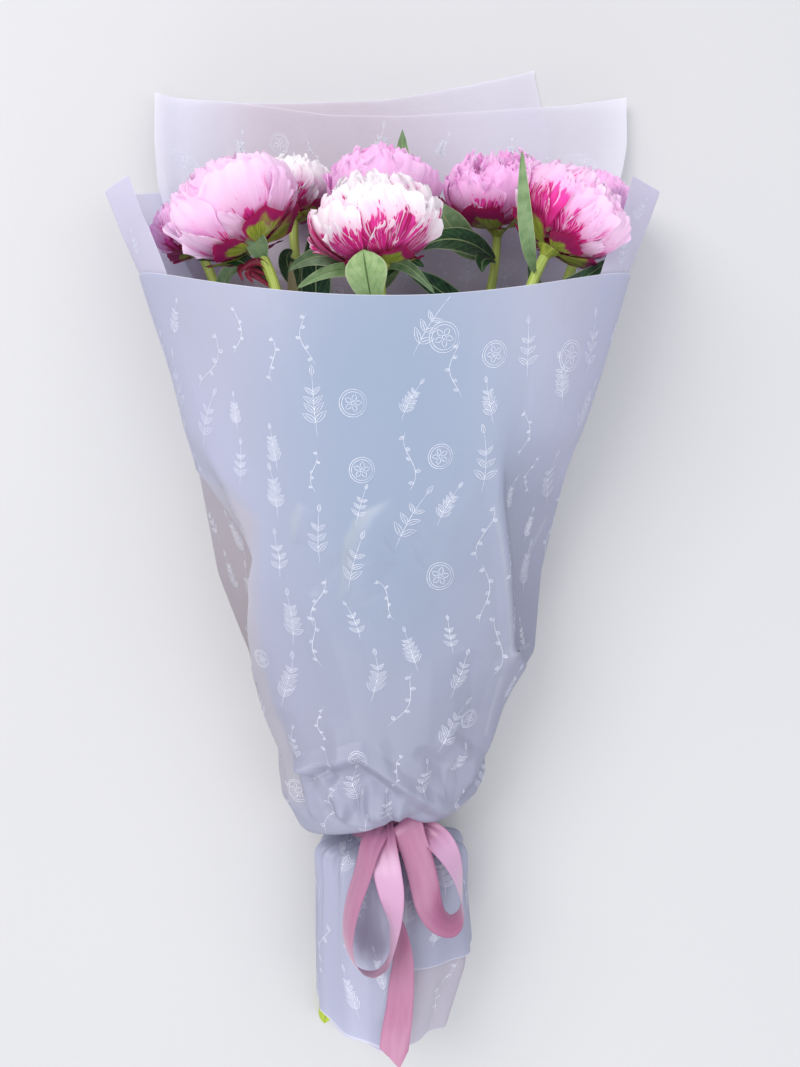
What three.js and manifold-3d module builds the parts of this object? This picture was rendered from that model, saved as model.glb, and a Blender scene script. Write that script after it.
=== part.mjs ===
import * as THREE from 'three';
import { mergeVertices } from 'three/addons/utils/BufferGeometryUtils.js';
import Module from 'manifold-3d';

// A bunch of eight double peonies, lying on its back in a translucent film wrap tied with
// a satin ribbon. X is to the right, Y runs from the cut ends to the flower heads, Z is up.
// Millimetres throughout.

const wasm = await Module();
wasm.setup();

// Film wrap: four sheets, each a skin on one shared envelope, at its own distance from it.
const FILM_THICKNESS = 0.8;
const NEAR_SHEET_OUT = 0;
const FAR_SHEET_OUT = 1.4;
const SIDE_SHEET_OUT = 2.8;
const FRONT_SHEET_OUT = 4.2;
const FLOOR_RISE = SIDE_SHEET_OUT + FILM_THICKNESS / 2;
const MIDDLE_RISE = FLOOR_RISE + 0.1;
const SKIRT_EASE = 2.4;
const FLATTEN = 1.11;
const SQUARENESS = 0.7;
const PUFF_LOBE_ANGLE = 18;
const PUFF_LOBE_SPREAD = 15;
const PUFF_LOBE_SHARE = 0.45;
const UNDERSIDE_ARCH = 0.1;
const UNDERSIDE_EDGE_ANGLE = 153;

// Tie: where the film, the ribbon and the stems are drawn together.
const TIE_Y = -229;
const TIE_X = -7;
const TIE_HALF_WIDTH = 27;
const TIE_LOW_Z = 27;
const TIE_HIGH_Z = 65;
const RIBBON_WIDTH = 22;
const RIBBON_THICKNESS = 0.9;
const RIBBON_CLEARANCE = 0.7;
const TIE_EASE = 1.6;

// Stems.
const STEM_RADIUS = 3.7;
const STEM_PITCH = 8;
const STEM_SIDES = 6;
const STEM_JOINT_Y = -206;
const STEM_FOOT_GROWTH = 0.08;
const STEM_FAN = 1.15;
const STEM_SPREAD = 1.3;
const NECK_LENGTH = 24;
const NECK_SINK = 0.7;
const NECK_LEAN = 0.35;
const STRAIGHT_SHARE = 0.93;
const FAN_SHARES = [0.58, 0.3, 0.08];
const CUT_UNEVENNESS = 9;
const BUNDLE_Z = 40.6;
const CUT_END_Y = -372;
const BINDING_WIDTH = 12;
const BINDING_THICKNESS = 1.2;
const BINDING_CLEARANCE = 0.8;

// Blooms: the height, the seat and the sepals follow the bloom's radius.
const BLOOM_HEIGHT_RATIO = 1.34;
const PETAL_THICKNESS = 0.9;
const CALYX_GAP = 0.4;
const CALYX_RADIUS = 10;
const CALYX_DEPTH = 8;
const SEPAL_STAND_OFF = 5.4;
const LEAF_THICKNESS = 0.8;
const LEAF_FOOT = 0.9;
const LEAF_FOLD = 0.22;
const LEAF_ROWS = 3;

const TAU = Math.PI * 2;
const rad = THREE.MathUtils.degToRad;
const vec = (p) => new THREE.Vector3(p[0], p[1], p[2]);

const materials = {
  filmBack: new THREE.MeshStandardMaterial({ color: 0xd3cfe0, roughness: 0.45 }),
  filmSide: new THREE.MeshStandardMaterial({ color: 0xc6c6dd, roughness: 0.45 }),
  filmFront: new THREE.MeshStandardMaterial({ color: 0xb6bdd4, roughness: 0.42 }),
  ribbon: new THREE.MeshStandardMaterial({ color: 0xc07aa0, roughness: 0.35 }),
  binding: new THREE.MeshStandardMaterial({ color: 0xc9b48c, roughness: 0.9 }),
  green: new THREE.MeshStandardMaterial({ color: 0x7f9a45, roughness: 0.6 }),
  pink: new THREE.MeshStandardMaterial({ color: 0xf2a9cf, roughness: 0.6 }),
  pale: new THREE.MeshStandardMaterial({ color: 0xf8cfe4, roughness: 0.6 }),
  white: new THREE.MeshStandardMaterial({ color: 0xfbeaf2, roughness: 0.6 }),
};

// Closed solids from geometry, and back.

function toManifold(geometry) {
  const bare = geometry.clone();
  bare.deleteAttribute('normal');
  bare.deleteAttribute('uv');
  const merged = mergeVertices(bare);
  return new wasm.Manifold(new wasm.Mesh({
    numProp: 3,
    vertProperties: new Float32Array(merged.attributes.position.array),
    triVerts: new Uint32Array(merged.index.array),
  }));
}

function toGeometry(manifold) {
  const mesh = manifold.getMesh();
  const geometry = new THREE.BufferGeometry();
  geometry.setAttribute('position', new THREE.BufferAttribute(mesh.vertProperties, 3));
  geometry.setIndex(new THREE.BufferAttribute(mesh.triVerts, 1));
  return geometry;
}

function fuse(geometries) {
  return toGeometry(geometries.map(toManifold).reduce((whole, next) => whole.add(next)));
}

// A closed blade: a grid of points with a normal at each, thickened evenly both ways.
// Both faces are split along the same diagonals.
function slab(points, normals, thickness) {
  const rows = points.length;
  const columns = points[0].length;
  const count = rows * columns;
  const positions = [];
  for (const side of [0.5, -0.5]) {
    for (let i = 0; i < rows; i += 1) {
      for (let j = 0; j < columns; j += 1) {
        const p = points[i][j].clone().addScaledVector(normals[i][j], side * thickness);
        positions.push(p.x, p.y, p.z);
      }
    }
  }
  const index = [];
  for (let i = 0; i < rows - 1; i += 1) {
    for (let j = 0; j < columns - 1; j += 1) {
      const a = i * columns + j;
      const b = a + 1;
      const c = b + columns;
      const d = a + columns;
      index.push(a, b, c, a, c, d);
      index.push(a + count, c + count, b + count, a + count, d + count, c + count);
    }
  }
  const rim = (p, q) => index.push(q, p, p + count, q, p + count, q + count);
  for (let j = 0; j < columns - 1; j += 1) {
    rim(j, j + 1);
    rim((rows - 1) * columns + j + 1, (rows - 1) * columns + j);
  }
  for (let i = 0; i < rows - 1; i += 1) {
    rim((i + 1) * columns - 1, (i + 2) * columns - 1);
    rim((i + 1) * columns, i * columns);
  }
  const geometry = new THREE.BufferGeometry();
  geometry.setAttribute('position', new THREE.Float32BufferAttribute(positions, 3));
  geometry.setIndex(index);
  return geometry;
}

// Normals of a grid from its own neighbours: column direction crossed with row direction.
function gridNormals(points) {
  const lastRow = points.length - 1;
  const lastColumn = points[0].length - 1;
  return points.map((row, i) => row.map((point, j) => {
    const along = row[Math.min(j + 1, lastColumn)].clone().sub(row[Math.max(j - 1, 0)]);
    const up = points[Math.min(i + 1, lastRow)][j].clone();
    up.sub(points[Math.max(i - 1, 0)][j]);
    return along.cross(up).normalize();
  }));
}

function blade(points, thickness) {
  return slab(points, gridNormals(points), thickness);
}

// A profile of radius and height, turned about Z.
function turned(profile, segments) {
  return new THREE.LatheGeometry(profile, segments).rotateX(Math.PI / 2);
}

function tube(extrudePath, radius, sides, steps) {
  const corners = Array.from({ length: sides }, (_, k) => new THREE.Vector2(
    radius * Math.cos((k / sides) * TAU),
    radius * Math.sin((k / sides) * TAU),
  ));
  const outline = new THREE.Shape(corners);
  return new THREE.ExtrudeGeometry(outline, { steps, bevelEnabled: false, extrudePath });
}

// The film envelope. A station is one cross-section: its height up the bunch at the sides
// (y), how far its front centre hangs below that (lift), its left and right edges, its top,
// the height of its widest points and its underside. An angle of 0 is the front centre,
// 90 the right side and 180 the middle of the back. The underside is arched by a hair, across
// and along, so that the bunch lies on its corners and doesn't rock.

const CONE_TOP = [
  { y: 366, left: -240, right: 230, top: 110, side: 36, low: FLOOR_RISE },
  { y: 330, left: -240, right: 230, top: 115, side: 44, low: FLOOR_RISE },
];
const CONE_WINGS = [
  { y: 268, left: -230, right: 202, top: 128, side: 60, low: FLOOR_RISE, back: 30 },
  { y: 232, left: -213, right: 187, top: 150, side: 74, low: MIDDLE_RISE, back: 12 },
];
const CONE_BODY = [
  { y: 194, lift: 38, left: -193, right: 170, top: 171, side: 86, low: MIDDLE_RISE },
  { y: 124, lift: 28, left: -173, right: 150, top: 160, side: 82, low: MIDDLE_RISE },
  { y: 44, lift: 18, left: -154, right: 126, top: 147, side: 76, low: MIDDLE_RISE },
  { y: -30, lift: 10, left: -141, right: 109, top: 136, side: 70, low: MIDDLE_RISE },
  { y: -92, lift: 6, left: -118, right: 104, top: 126, side: 65, low: FLOOR_RISE },
  { y: -130, lift: 3, left: -110, right: 80, top: 119, side: 62, low: 4 },
];
const tieAt = (y, grow) => ({
  y,
  left: TIE_X - TIE_HALF_WIDTH - grow,
  right: TIE_X + TIE_HALF_WIDTH + grow,
  top: TIE_HIGH_Z + grow,
  side: (TIE_LOW_Z + TIE_HIGH_Z) / 2,
  low: TIE_LOW_Z - grow,
});
const GATHER = [
  { y: -168, left: -78, right: 54, top: 100, side: 55, low: 10 },
  tieAt(-207, 0),
  tieAt(-218, 0),
  tieAt(-244, 0),
];
// The front sheet is puffed: it hangs over the tie and turns back in under itself.
const PUFF = [
  { y: -176, left: -95, right: 64, top: 110, side: 58, low: 9 },
  { y: -203, left: -85, right: 51, top: 107, side: 56, low: 13 },
  { y: -216, left: -70, right: 42, top: 99, side: 53, low: 19, sag: 15 },
  tieAt(-211, 6),
  tieAt(-218, TIE_EASE),
  tieAt(-245, TIE_EASE),
];
const SKIRT = [
  { y: -253, left: -61, right: 47, top: 81, side: 46, low: 9 },
  { y: -290, left: -63, right: 51, top: 85, side: 46, low: FLOOR_RISE },
  { y: -338, left: -62, right: 54, top: 85, side: 46, low: FLOOR_RISE },
  { y: -388, left: -57, right: 36, top: 81, side: 46, low: FLOOR_RISE },
];

function envelope(angle, station) {
  const s = Math.sin(rad(angle));
  const c = Math.cos(rad(angle));
  const middle = (station.left + station.right) / 2;
  const half = (station.right - station.left) / 2;
  const lift = station.lift ?? 0;
  if (c >= 0) {
    const lobe = Math.exp(-(((angle - PUFF_LOBE_ANGLE) / PUFF_LOBE_SPREAD) ** 2));
    const slump = Math.max(0, -s) - PUFF_LOBE_SHARE * lobe;
    return new THREE.Vector3(
      middle + half * s,
      station.y - lift * c * c - (station.sag ?? 0) * slump,
      station.side + (station.top - station.side) * c,
    );
  }
  const drop = Math.min(1, FLATTEN * Math.pow(-c, SQUARENESS));
  const edge = Math.sin(rad(UNDERSIDE_EDGE_ANGLE));
  const arch = UNDERSIDE_ARCH * Math.max(0, 1 - Math.abs(s) / edge);
  return new THREE.Vector3(
    middle + half * Math.sign(s) * Math.pow(Math.abs(s), SQUARENESS),
    station.y + (station.back ?? 0) * drop,
    station.side - (station.side - station.low) * drop + arch,
  );
}

// One sheet: rows of stations from the top down, each with its own span of angles.
function filmSheet(stations, angleRows, out, trim = () => 0) {
  const points = [];
  const normals = [];
  stations.forEach((station, i) => {
    const before = stations[Math.max(i - 1, 0)];
    const after = stations[Math.min(i + 1, stations.length - 1)];
    const rowPoints = [];
    const rowNormals = [];
    for (const angle of angleRows[i]) {
      const around = envelope(angle + 1, station).sub(envelope(angle - 1, station));
      const up = envelope(angle, before).sub(envelope(angle, after));
      const outward = around.cross(up).normalize();
      const point = envelope(angle, station).addScaledVector(outward, out);
      point.y += trim(i, point);
      rowPoints.push(point);
      rowNormals.push(outward.negate());
    }
    points.push(rowPoints);
    normals.push(rowNormals);
  });
  return slab(points, normals, FILM_THICKNESS);
}

function spread(count, from, to) {
  return Array.from({ length: count }, (_, k) => from + ((to - from) * k) / (count - 1));
}

const mirrored = (angles) => [...angles, ...angles.map((a) => 360 - a).reverse().slice(1)];
const FRONT_ANGLES = [-128, -108, -90, -73, -56, -38, -19, 0, 19, 38, 56, 73, 90, 108, 128];
const BAND_ANGLES = [...FRONT_ANGLES, 153, 207];
const SIDE_ANGLES = mirrored([56, 73, 90, 108, 128, 153, 180]);
const WING_ANGLES = mirrored([63, 76, 90, 108, 128, 153, 180]);
const NEAR_ANGLES = mirrored([128, 153, 180]);
const FAR_ANGLES = [153, 180, 207, 232];

function farSheet() {
  const stations = [...CONE_TOP, ...CONE_WINGS, ...CONE_BODY, ...GATHER];
  const raisedCorner = (i, p) => {
    if (i > 0) return 0;
    return 9 + (p.x > 3 ? 0.0019 * (p.x - 3) ** 2 : 0.04 * (p.x - 3));
  };
  return filmSheet(stations, stations.map(() => FAR_ANGLES), FAR_SHEET_OUT, raisedCorner);
}

function nearSheet() {
  const stations = [...CONE_TOP, ...CONE_WINGS, ...CONE_BODY, ...GATHER];
  return filmSheet(stations, stations.map(() => NEAR_ANGLES), NEAR_SHEET_OUT);
}

function sideSheet() {
  const above = [...CONE_WINGS, ...CONE_BODY, ...GATHER];
  const stations = [...above, ...SKIRT];
  const angles = stations.map((_, i) => {
    if (i < CONE_WINGS.length) return WING_ANGLES;
    if (i < above.length) return SIDE_ANGLES;
    return i === above.length ? spread(13, 36, 352) : spread(13, 20, 368);
  });
  return filmSheet(stations, angles, SIDE_SHEET_OUT);
}

// The front sheet's hem runs on down at the left, from its full length to none at the right.
const HEM_RUN_ON = 52;
const HEM_LEFT = -14;
const HEM_RIGHT = 6;

function frontSheet() {
  const over = (station, y) => ({
    ...station,
    y,
    left: station.left - SKIRT_EASE,
    right: station.right + SKIRT_EASE,
    top: station.top + SKIRT_EASE,
  });
  const skirt = [over(SKIRT[0], SKIRT[0].y), over(SKIRT[1], -290), over(SKIRT[2], -330)];
  const stations = [...CONE_BODY, ...PUFF, ...skirt];
  const longerLeft = (i, p) => {
    if (i < stations.length - 1) return 0;
    return -HEM_RUN_ON * THREE.MathUtils.clamp((HEM_RIGHT - p.x) / (HEM_RIGHT - HEM_LEFT), 0, 1);
  };
  return filmSheet(stations, stations.map(() => FRONT_ANGLES), FRONT_SHEET_OUT, longerLeft);
}

// Ribbon: a band round the tie, a knot on its front, two loops and a long tail, one piece.
// Each strip point is x, y, z and the roll of the ribbon's width out of the horizontal.

const RIBBON_KNOT = [-6, -227, 77];
const LEFT_LOOP = [
  [-9, -228, 78, 20], [-18, -234, 90, 36], [-26, -247, 98, 52], [-34, -271, 103, 58],
  [-38.3, -297, 104.5, 66], [-34.5, -313, 105, 79], [-23, -321, 106, 90], [-10, -313, 107, 98],
  [-4, -292, 113, 109], [-6, -270, 113, 138], [-11, -247, 107, 160], [-11, -226, 80, 152],
];
const RIGHT_LOOP = [
  [-3, -230, 78, -6], [3, -229, 86, -6], [8, -233, 91, -6], [11, -241, 94, -9],
  [17, -256, 98, -14], [21, -274, 100, -26], [29, -287, 101, -54], [38.5, -291, 101, -72],
  [45.5, -284, 101, -86], [46, -268, 100, -98], [40, -246, 97, -122], [26, -232, 88, -147],
  [3, -227, 77, -152],
];
const RIBBON_TAIL = [
  [-5, -228, 78, 6], [-8, -238, 91, 24], [-9, -258, 102, 46], [-4, -280, 104.5, 54],
  [2, -305, 104, 48], [1.5, -336, 101, 34], [-1.1, -361, 98, 22], [-4.5, -394, 94, 2],
];

function ribbonStrip(stations) {
  const path = stations.map(vec);
  const across = stations.map((station, k) => {
    const tangent = path[Math.min(k + 1, path.length - 1)].clone();
    tangent.sub(path[Math.max(k - 1, 0)]).normalize();
    const level = new THREE.Vector3().crossVectors(tangent, new THREE.Vector3(0, 0, 1));
    level.normalize().applyAxisAngle(tangent, rad(station[3]));
    return level.multiplyScalar(RIBBON_WIDTH / 2);
  });
  const points = path.map((p, k) => [p.clone().sub(across[k]), p.clone().add(across[k])]);
  return blade(points, RIBBON_THICKNESS);
}

// Extrudes a shape drawn in X and Z along Y, half of it each way.
function throughTie(shape, width, curveSegments) {
  const options = { depth: width, steps: 1, bevelEnabled: false, curveSegments };
  const geometry = new THREE.ExtrudeGeometry(shape, options);
  return geometry.translate(0, 0, -width / 2).rotateX(Math.PI / 2);
}

// The gathered film's outline in the tie, at a distance outside the envelope, anticlockwise.
function tieOutline(out) {
  const station = tieAt(TIE_Y, 0);
  return BAND_ANGLES.map((angle) => {
    const p = envelope(angle, station);
    const around = envelope(angle + 1, station).sub(envelope(angle - 1, station)).normalize();
    return new THREE.Vector2(p.x - around.z * out, p.z + around.x * out);
  }).reverse();
}

function ribbon() {
  const inside = FRONT_SHEET_OUT + TIE_EASE + FILM_THICKNESS / 2 + RIBBON_CLEARANCE;
  const ring = new THREE.Shape(tieOutline(inside + RIBBON_THICKNESS));
  ring.holes.push(new THREE.Path(tieOutline(inside)));
  const band = throughTie(ring, RIBBON_WIDTH, 1).translate(0, TIE_Y, 0);
  const knot = new THREE.SphereGeometry(1, 8, 6);
  knot.scale(9, 7.5, 6);
  knot.translate(...RIBBON_KNOT);
  return fuse([band, knot, ...[LEFT_LOOP, RIGHT_LOOP, RIBBON_TAIL].map(ribbonStrip)]);
}

// One flower: the middle of its bloom, the way its bloom faces, its radius, where its stem
// runs in the tie, and its leaves. A leaf starts on the stem at a height y and has a bend
// point, a tip, a width and the way its upper face looks.

const FLOWERS = [
  {
    name: 'peony_1', colour: 'pink', centre: [-170, 247, 53], faces: [-0.42, 0.88, 0.08],
    radius: 30, slot: [-1, -1], spin: 10,
    leaves: [
      { y: 190, bend: [-138, 214, 66], tip: [-116, 208, 70], width: 13, face: [0, 0.3, 1] },
      { y: -318, bend: [-40, -352, 22], tip: [-54, -408, 14], width: 15, face: [0, 0, 1] },
    ],
  },
  {
    name: 'peony_2', colour: 'pale', centre: [-119, 234, 122], faces: [-0.5, 0.85, 0.06],
    radius: 46, slot: [-1, 1], spin: 35,
    leaves: [
      { y: 120, bend: [-104, 138, 122], tip: [-124, 158, 128], width: 16, face: [0, 0, 1] },
    ],
  },
  {
    name: 'peony_3', colour: 'white', centre: [-86, 284, 41], faces: [0.04, 1, 0.02],
    radius: 32, slot: [-0.5, 0], spin: 50,
    leaves: [
      { y: 196, bend: [-98, 222, 60], tip: [-84, 222, 66], width: 15, face: [0.3, 0, 1] },
    ],
  },
  {
    name: 'peony_4', colour: 'pink', centre: [-14, 269, 74], faces: [0.02, 1, 0.1],
    radius: 42, slot: [0, -1], spin: 5,
    leaves: [
      { y: 190, bend: [12, 262, 2], tip: [5, 334, 34], width: 24, face: [0, 0, 1] },
    ],
  },
  {
    name: 'peony_5', colour: 'white', centre: [-18, 218, 138], faces: [-0.1, 0.98, 0.1],
    radius: 44, slot: [0, 1], spin: 20,
    leaves: [
      { y: 126, bend: [-20, 156, 158], tip: [-24.6, 189, 163], width: 27, face: [0, -0.2, 1] },
      { y: 172, bend: [-44, 182, 147], tip: [-70, 165, 150], width: 10, face: [0, -0.5, 1] },
      { y: 174, bend: [0, 183, 143], tip: [24, 164, 142], width: 10, face: [0, -0.3, 1] },
    ],
  },
  {
    name: 'peony_6', colour: 'pink', centre: [77, 273, 62], faces: [-0.04, 0.92, 0.36],
    radius: 42, slot: [0.5, 0], spin: 28,
    leaves: [
      { y: 206, bend: [52, 192, 98], tip: [25, 241, 108], width: 24, face: [0.3, -0.2, 1] },
      { y: 170, bend: [28, 186, 96], tip: [4, 196, 100], width: 16, face: [0, 0, 1] },
    ],
  },
  {
    name: 'peony_7', colour: 'pale', centre: [121, 228, 128], faces: [0.5, 0.84, 0.12],
    radius: 41, slot: [1, 1], spin: 44,
    leaves: [
      { y: 184, bend: [81, 190, 166], tip: [80, 251, 172], width: 11, face: [0, -0.2, 1] },
      { y: 160, bend: [126, 170, 112], tip: [152, 192, 112], width: 12, face: [0, 0, 1] },
    ],
  },
  {
    name: 'peony_8', colour: 'pink', centre: [156, 268, 51], faces: [0.3, 0.94, 0.06],
    radius: 31, slot: [1, -1], spin: 15,
    leaves: [
      { y: 150, bend: [116, 196, 40], tip: [106, 222, 34], width: 14, face: [0, 0, 1] },
    ],
  },
];

// Bloom surfaces are round bowls: beta is the angle up the bowl from its base. Narrower
// bowls sit higher.
const INNER_RISE = 0.35;
const PETAL_FOOT = 0.45;

function bowl(radius, height, swell, beta) {
  const b = rad(beta);
  return [
    radius * swell * Math.sin(b),
    (height / 2) * (1 - Math.cos(b)) + (1 - swell) * radius * INNER_RISE,
  ];
}

function bowlPoint(radius, height, shape, u, v) {
  const opening = Math.sin(Math.min(1, v * 1.5) * (Math.PI / 2));
  const width = shape.width * (PETAL_FOOT + (1 - PETAL_FOOT) * opening);
  const angle = rad(shape.facing + (width / 2) * u);
  const fall = 1 - shape.round * u * u;
  const beta = shape.from + (shape.to - shape.from) * v * fall;
  const [r, h] = bowl(radius, height, shape.swell, beta);
  const reach = r + shape.out * Math.sin(rad(beta)) + shape.swirl * radius * u;
  const drop = shape.out * Math.cos(rad(beta));
  return new THREE.Vector3(reach * Math.cos(angle), reach * Math.sin(angle), h - drop);
}

function bowlBlade(radius, height, shape, columns, rows, thickness) {
  const points = [];
  for (let i = 0; i <= rows; i += 1) {
    const row = [];
    for (let j = 0; j <= columns; j += 1) {
      row.push(bowlPoint(radius, height, shape, (2 * j) / columns - 1, i / rows));
    }
    points.push(row);
  }
  return blade(points, thickness);
}

function bloomCore(radius, height) {
  const profile = [[0, 0], [0.46, 0.02], [0.72, 0.24], [0.74, 0.52], [0.48, 0.76], [0, 0.84]];
  const points = profile.map(([r, h]) => new THREE.Vector2(r * radius, h * height));
  return turned(points, 6);
}

const PETAL_RINGS = [
  {
    count: 6, columns: 3, swell: 1, from: 27, to: 118, width: 74, round: 0.16, swirl: 0.062,
    out: 0,
  },
  {
    count: 5, columns: 2, swell: 0.8, from: 52, to: 138, width: 71, round: 0.2, swirl: 0.03,
    out: 0,
  },
];

// The crown: short petals in the middle, on two circles, from a foot up to a waved top. All
// but the half widths, in degrees, are shares of the bloom's radius or height.
const CROWN = {
  count: 5, inner: 0.2, step: 0.12, footWidth: 20, widening: 14, lean: 0.1, wave: 0.05,
  foot: 0.6, rise: 0.36, unevenness: 0.05, round: 0.2,
};

function crownPetal(radius, height, facing, k) {
  const base = CROWN.inner + CROWN.step * (k % 2);
  const rise = CROWN.rise + CROWN.unevenness * Math.sin(k * 2);
  const points = [0, 1].map((v) => [-1, 0, 1].map((u) => {
    const angle = rad(facing + (CROWN.footWidth + CROWN.widening * v) * u);
    const reach = radius * (base + CROWN.lean * v + CROWN.wave * v * Math.sin(3 * u + k));
    const h = height * (CROWN.foot + rise * v * (1 - CROWN.round * u * u));
    return new THREE.Vector3(reach * Math.cos(angle), reach * Math.sin(angle), h);
  }));
  return blade(points, PETAL_THICKNESS);
}

function bloomGeometry(flower) {
  const height = flower.radius * BLOOM_HEIGHT_RATIO;
  const pieces = [bloomCore(flower.radius, height)];
  PETAL_RINGS.forEach((ring, r) => {
    for (let k = 0; k < ring.count; k += 1) {
      const facing = flower.spin + (360 * (k + r * 0.5)) / ring.count;
      const shape = { ...ring, facing, to: ring.to + 5 * Math.sin(k * 2.4 + r) };
      pieces.push(bowlBlade(flower.radius, height, shape, ring.columns, 2, PETAL_THICKNESS));
    }
  });
  for (let k = 0; k < CROWN.count; k += 1) {
    const facing = flower.spin + (360 * k) / CROWN.count;
    pieces.push(crownPetal(flower.radius, height, facing, k));
  }
  return fuse(pieces);
}

// The calyx: a cup under the bloom with five sepals that hold its base.
const SEPALS = [
  { facing: 0, to: 62, width: 58 }, { facing: 72, to: 50, width: 54 },
  { facing: 144, to: 66, width: 60 }, { facing: 216, to: 48, width: 52 },
  { facing: 288, to: 58, width: 56 },
];

function calyxGeometries(flower) {
  const height = flower.radius * BLOOM_HEIGHT_RATIO;
  const profile = [
    [0, -CALYX_DEPTH], [STEM_RADIUS, -CALYX_DEPTH], [CALYX_RADIUS * 0.8, -CALYX_DEPTH * 0.55],
    [CALYX_RADIUS, -CALYX_GAP], [0, -CALYX_GAP],
  ];
  const cup = turned(profile.map(([r, h]) => new THREE.Vector2(r, h)), 6);
  const sepals = SEPALS.map((sepal) => {
    const shape = {
      ...sepal, facing: sepal.facing + flower.spin, swell: 1, from: 5, round: 0.3,
      swirl: 0, out: SEPAL_STAND_OFF,
    };
    return bowlBlade(flower.radius, height, shape, 2, 2, LEAF_THICKNESS);
  });
  return [cup, ...sepals];
}

// Places the bloom's own frame, with its axis up Z from its base, in the bunch.
function bloomPlacement(flower) {
  const axis = vec(flower.faces).normalize();
  const half = (flower.radius * BLOOM_HEIGHT_RATIO) / 2;
  const base = vec(flower.centre).addScaledVector(axis, -half);
  const turn = new THREE.Quaternion().setFromUnitVectors(new THREE.Vector3(0, 0, 1), axis);
  return { axis, base, turn };
}

// A stem's slot in the tie, and where it is at a height y: side by side in the binding,
// opening out above it towards its bloom, and out of the calyx along the bloom's axis.
function stemSlot(flower) {
  return new THREE.Vector3(
    TIE_X + flower.slot[0] * STEM_PITCH,
    TIE_Y,
    BUNDLE_Z + flower.slot[1] * STEM_PITCH * Math.sin(Math.PI / 3),
  );
}

function upperStem(flower) {
  const { axis, base } = bloomPlacement(flower);
  const neck = base.clone().addScaledVector(axis, -CALYX_DEPTH * NECK_SINK);
  const foot = stemSlot(flower).setY(STEM_JOINT_Y - STEM_RADIUS);
  const span = neck.clone().sub(foot);
  const fan = FAN_SHARES.map((d) => foot.clone().add(
    new THREE.Vector3(span.x * d ** STEM_FAN, span.y * d, span.z * d ** STEM_FAN),
  ));
  const below = neck.clone().addScaledVector(axis, -NECK_LENGTH);
  const straight = foot.clone().addScaledVector(span, STRAIGHT_SHARE);
  const points = [neck, below.lerp(straight, NECK_LEAN), ...fan, foot];
  return new THREE.CatmullRomCurve3(points, false, 'centripetal');
}

function lowerStem(flower, k) {
  const slot = stemSlot(flower);
  const end = new THREE.Vector3(
    TIE_X + (slot.x - TIE_X) * STEM_SPREAD,
    CUT_END_Y + CUT_UNEVENNESS * Math.sin(k * 2.1),
    BUNDLE_Z + (slot.z - BUNDLE_Z) * STEM_SPREAD,
  );
  return new THREE.LineCurve3(slot.setY(STEM_JOINT_Y), end);
}

function pointAtHeight(curve, y) {
  let low = 0;
  let high = 1;
  for (let k = 0; k < 24; k += 1) {
    const middle = (low + high) / 2;
    if (curve.getPoint(middle).y > y) low = middle;
    else high = middle;
  }
  return curve.getPoint((low + high) / 2);
}

// A lance-shaped blade, folded a little along its rib, from the stem's middle to its tip.
function leafGeometry(start, leaf) {
  const curve = new THREE.QuadraticBezierCurve3(start, vec(leaf.bend), vec(leaf.tip));
  const face = vec(leaf.face).normalize();
  const points = [];
  for (let i = 0; i <= LEAF_ROWS; i += 1) {
    const v = i / LEAF_ROWS;
    const centre = curve.getPoint(v);
    const side = curve.getTangent(v).cross(face).normalize();
    const lance = Math.sin(Math.PI * v ** 0.85) ** 0.9;
    const half = LEAF_FOOT + (leaf.width / 2) * lance;
    points.push([-1, 0, 1].map((u) => centre.clone()
      .addScaledVector(side, u * half)
      .addScaledVector(face, Math.abs(u) * half * LEAF_FOLD)));
  }
  return blade(points, LEAF_THICKNESS);
}

function stemGeometry(flower, k) {
  const { base, turn } = bloomPlacement(flower);
  const upper = upperStem(flower);
  const lower = lowerStem(flower, k);
  const pieces = [
    tube(upper, STEM_RADIUS, STEM_SIDES, 8),
    tube(lower, STEM_RADIUS + STEM_FOOT_GROWTH, STEM_SIDES, 1),
  ];
  for (const geometry of calyxGeometries(flower)) {
    geometry.applyQuaternion(turn);
    geometry.translate(base.x, base.y, base.z);
    pieces.push(geometry);
  }
  for (const leaf of flower.leaves) {
    const curve = leaf.y > STEM_JOINT_Y ? upper : lower;
    pieces.push(leafGeometry(pointAtHeight(curve, leaf.y), leaf));
  }
  return fuse(pieces);
}

// The binding holds the stems: a flat band round their corners.
function bindingGeometry() {
  const halfX = STEM_PITCH + STEM_RADIUS + BINDING_CLEARANCE;
  const halfZ = STEM_PITCH * Math.sin(Math.PI / 3) + STEM_RADIUS + BINDING_CLEARANCE;
  const corner = STEM_RADIUS + BINDING_CLEARANCE;
  const loop = (path, grow, turn) => {
    for (let k = 0; k < 4; k += 1) {
      const start = (turn * k * Math.PI) / 2;
      const middle = start + (turn * Math.PI) / 4;
      const x = Math.sign(Math.cos(middle)) * (halfX - corner);
      const z = Math.sign(Math.sin(middle)) * (halfZ - corner);
      path.absarc(x, z, corner + grow, start, start + (turn * Math.PI) / 2, turn < 0);
    }
    path.closePath();
    return path;
  };
  const ring = loop(new THREE.Shape(), BINDING_THICKNESS, 1);
  ring.holes.push(loop(new THREE.Path(), 0, -1));
  return throughTie(ring, BINDING_WIDTH, 2).translate(TIE_X, TIE_Y, BUNDLE_Z);
}

const bunch = new THREE.Group();

function addPiece(name, geometry, material) {
  const mesh = new THREE.Mesh(geometry, material);
  mesh.name = name;
  bunch.add(mesh);
  return mesh;
}

addPiece('film_back_far', farSheet(), materials.filmBack);
addPiece('film_back_near', nearSheet(), materials.filmBack);
addPiece('film_side_wrap', sideSheet(), materials.filmSide);
addPiece('film_front', frontSheet(), materials.filmFront);
addPiece('ribbon_bow', ribbon(), materials.ribbon);
addPiece('stem_binding', bindingGeometry(), materials.binding);

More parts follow.
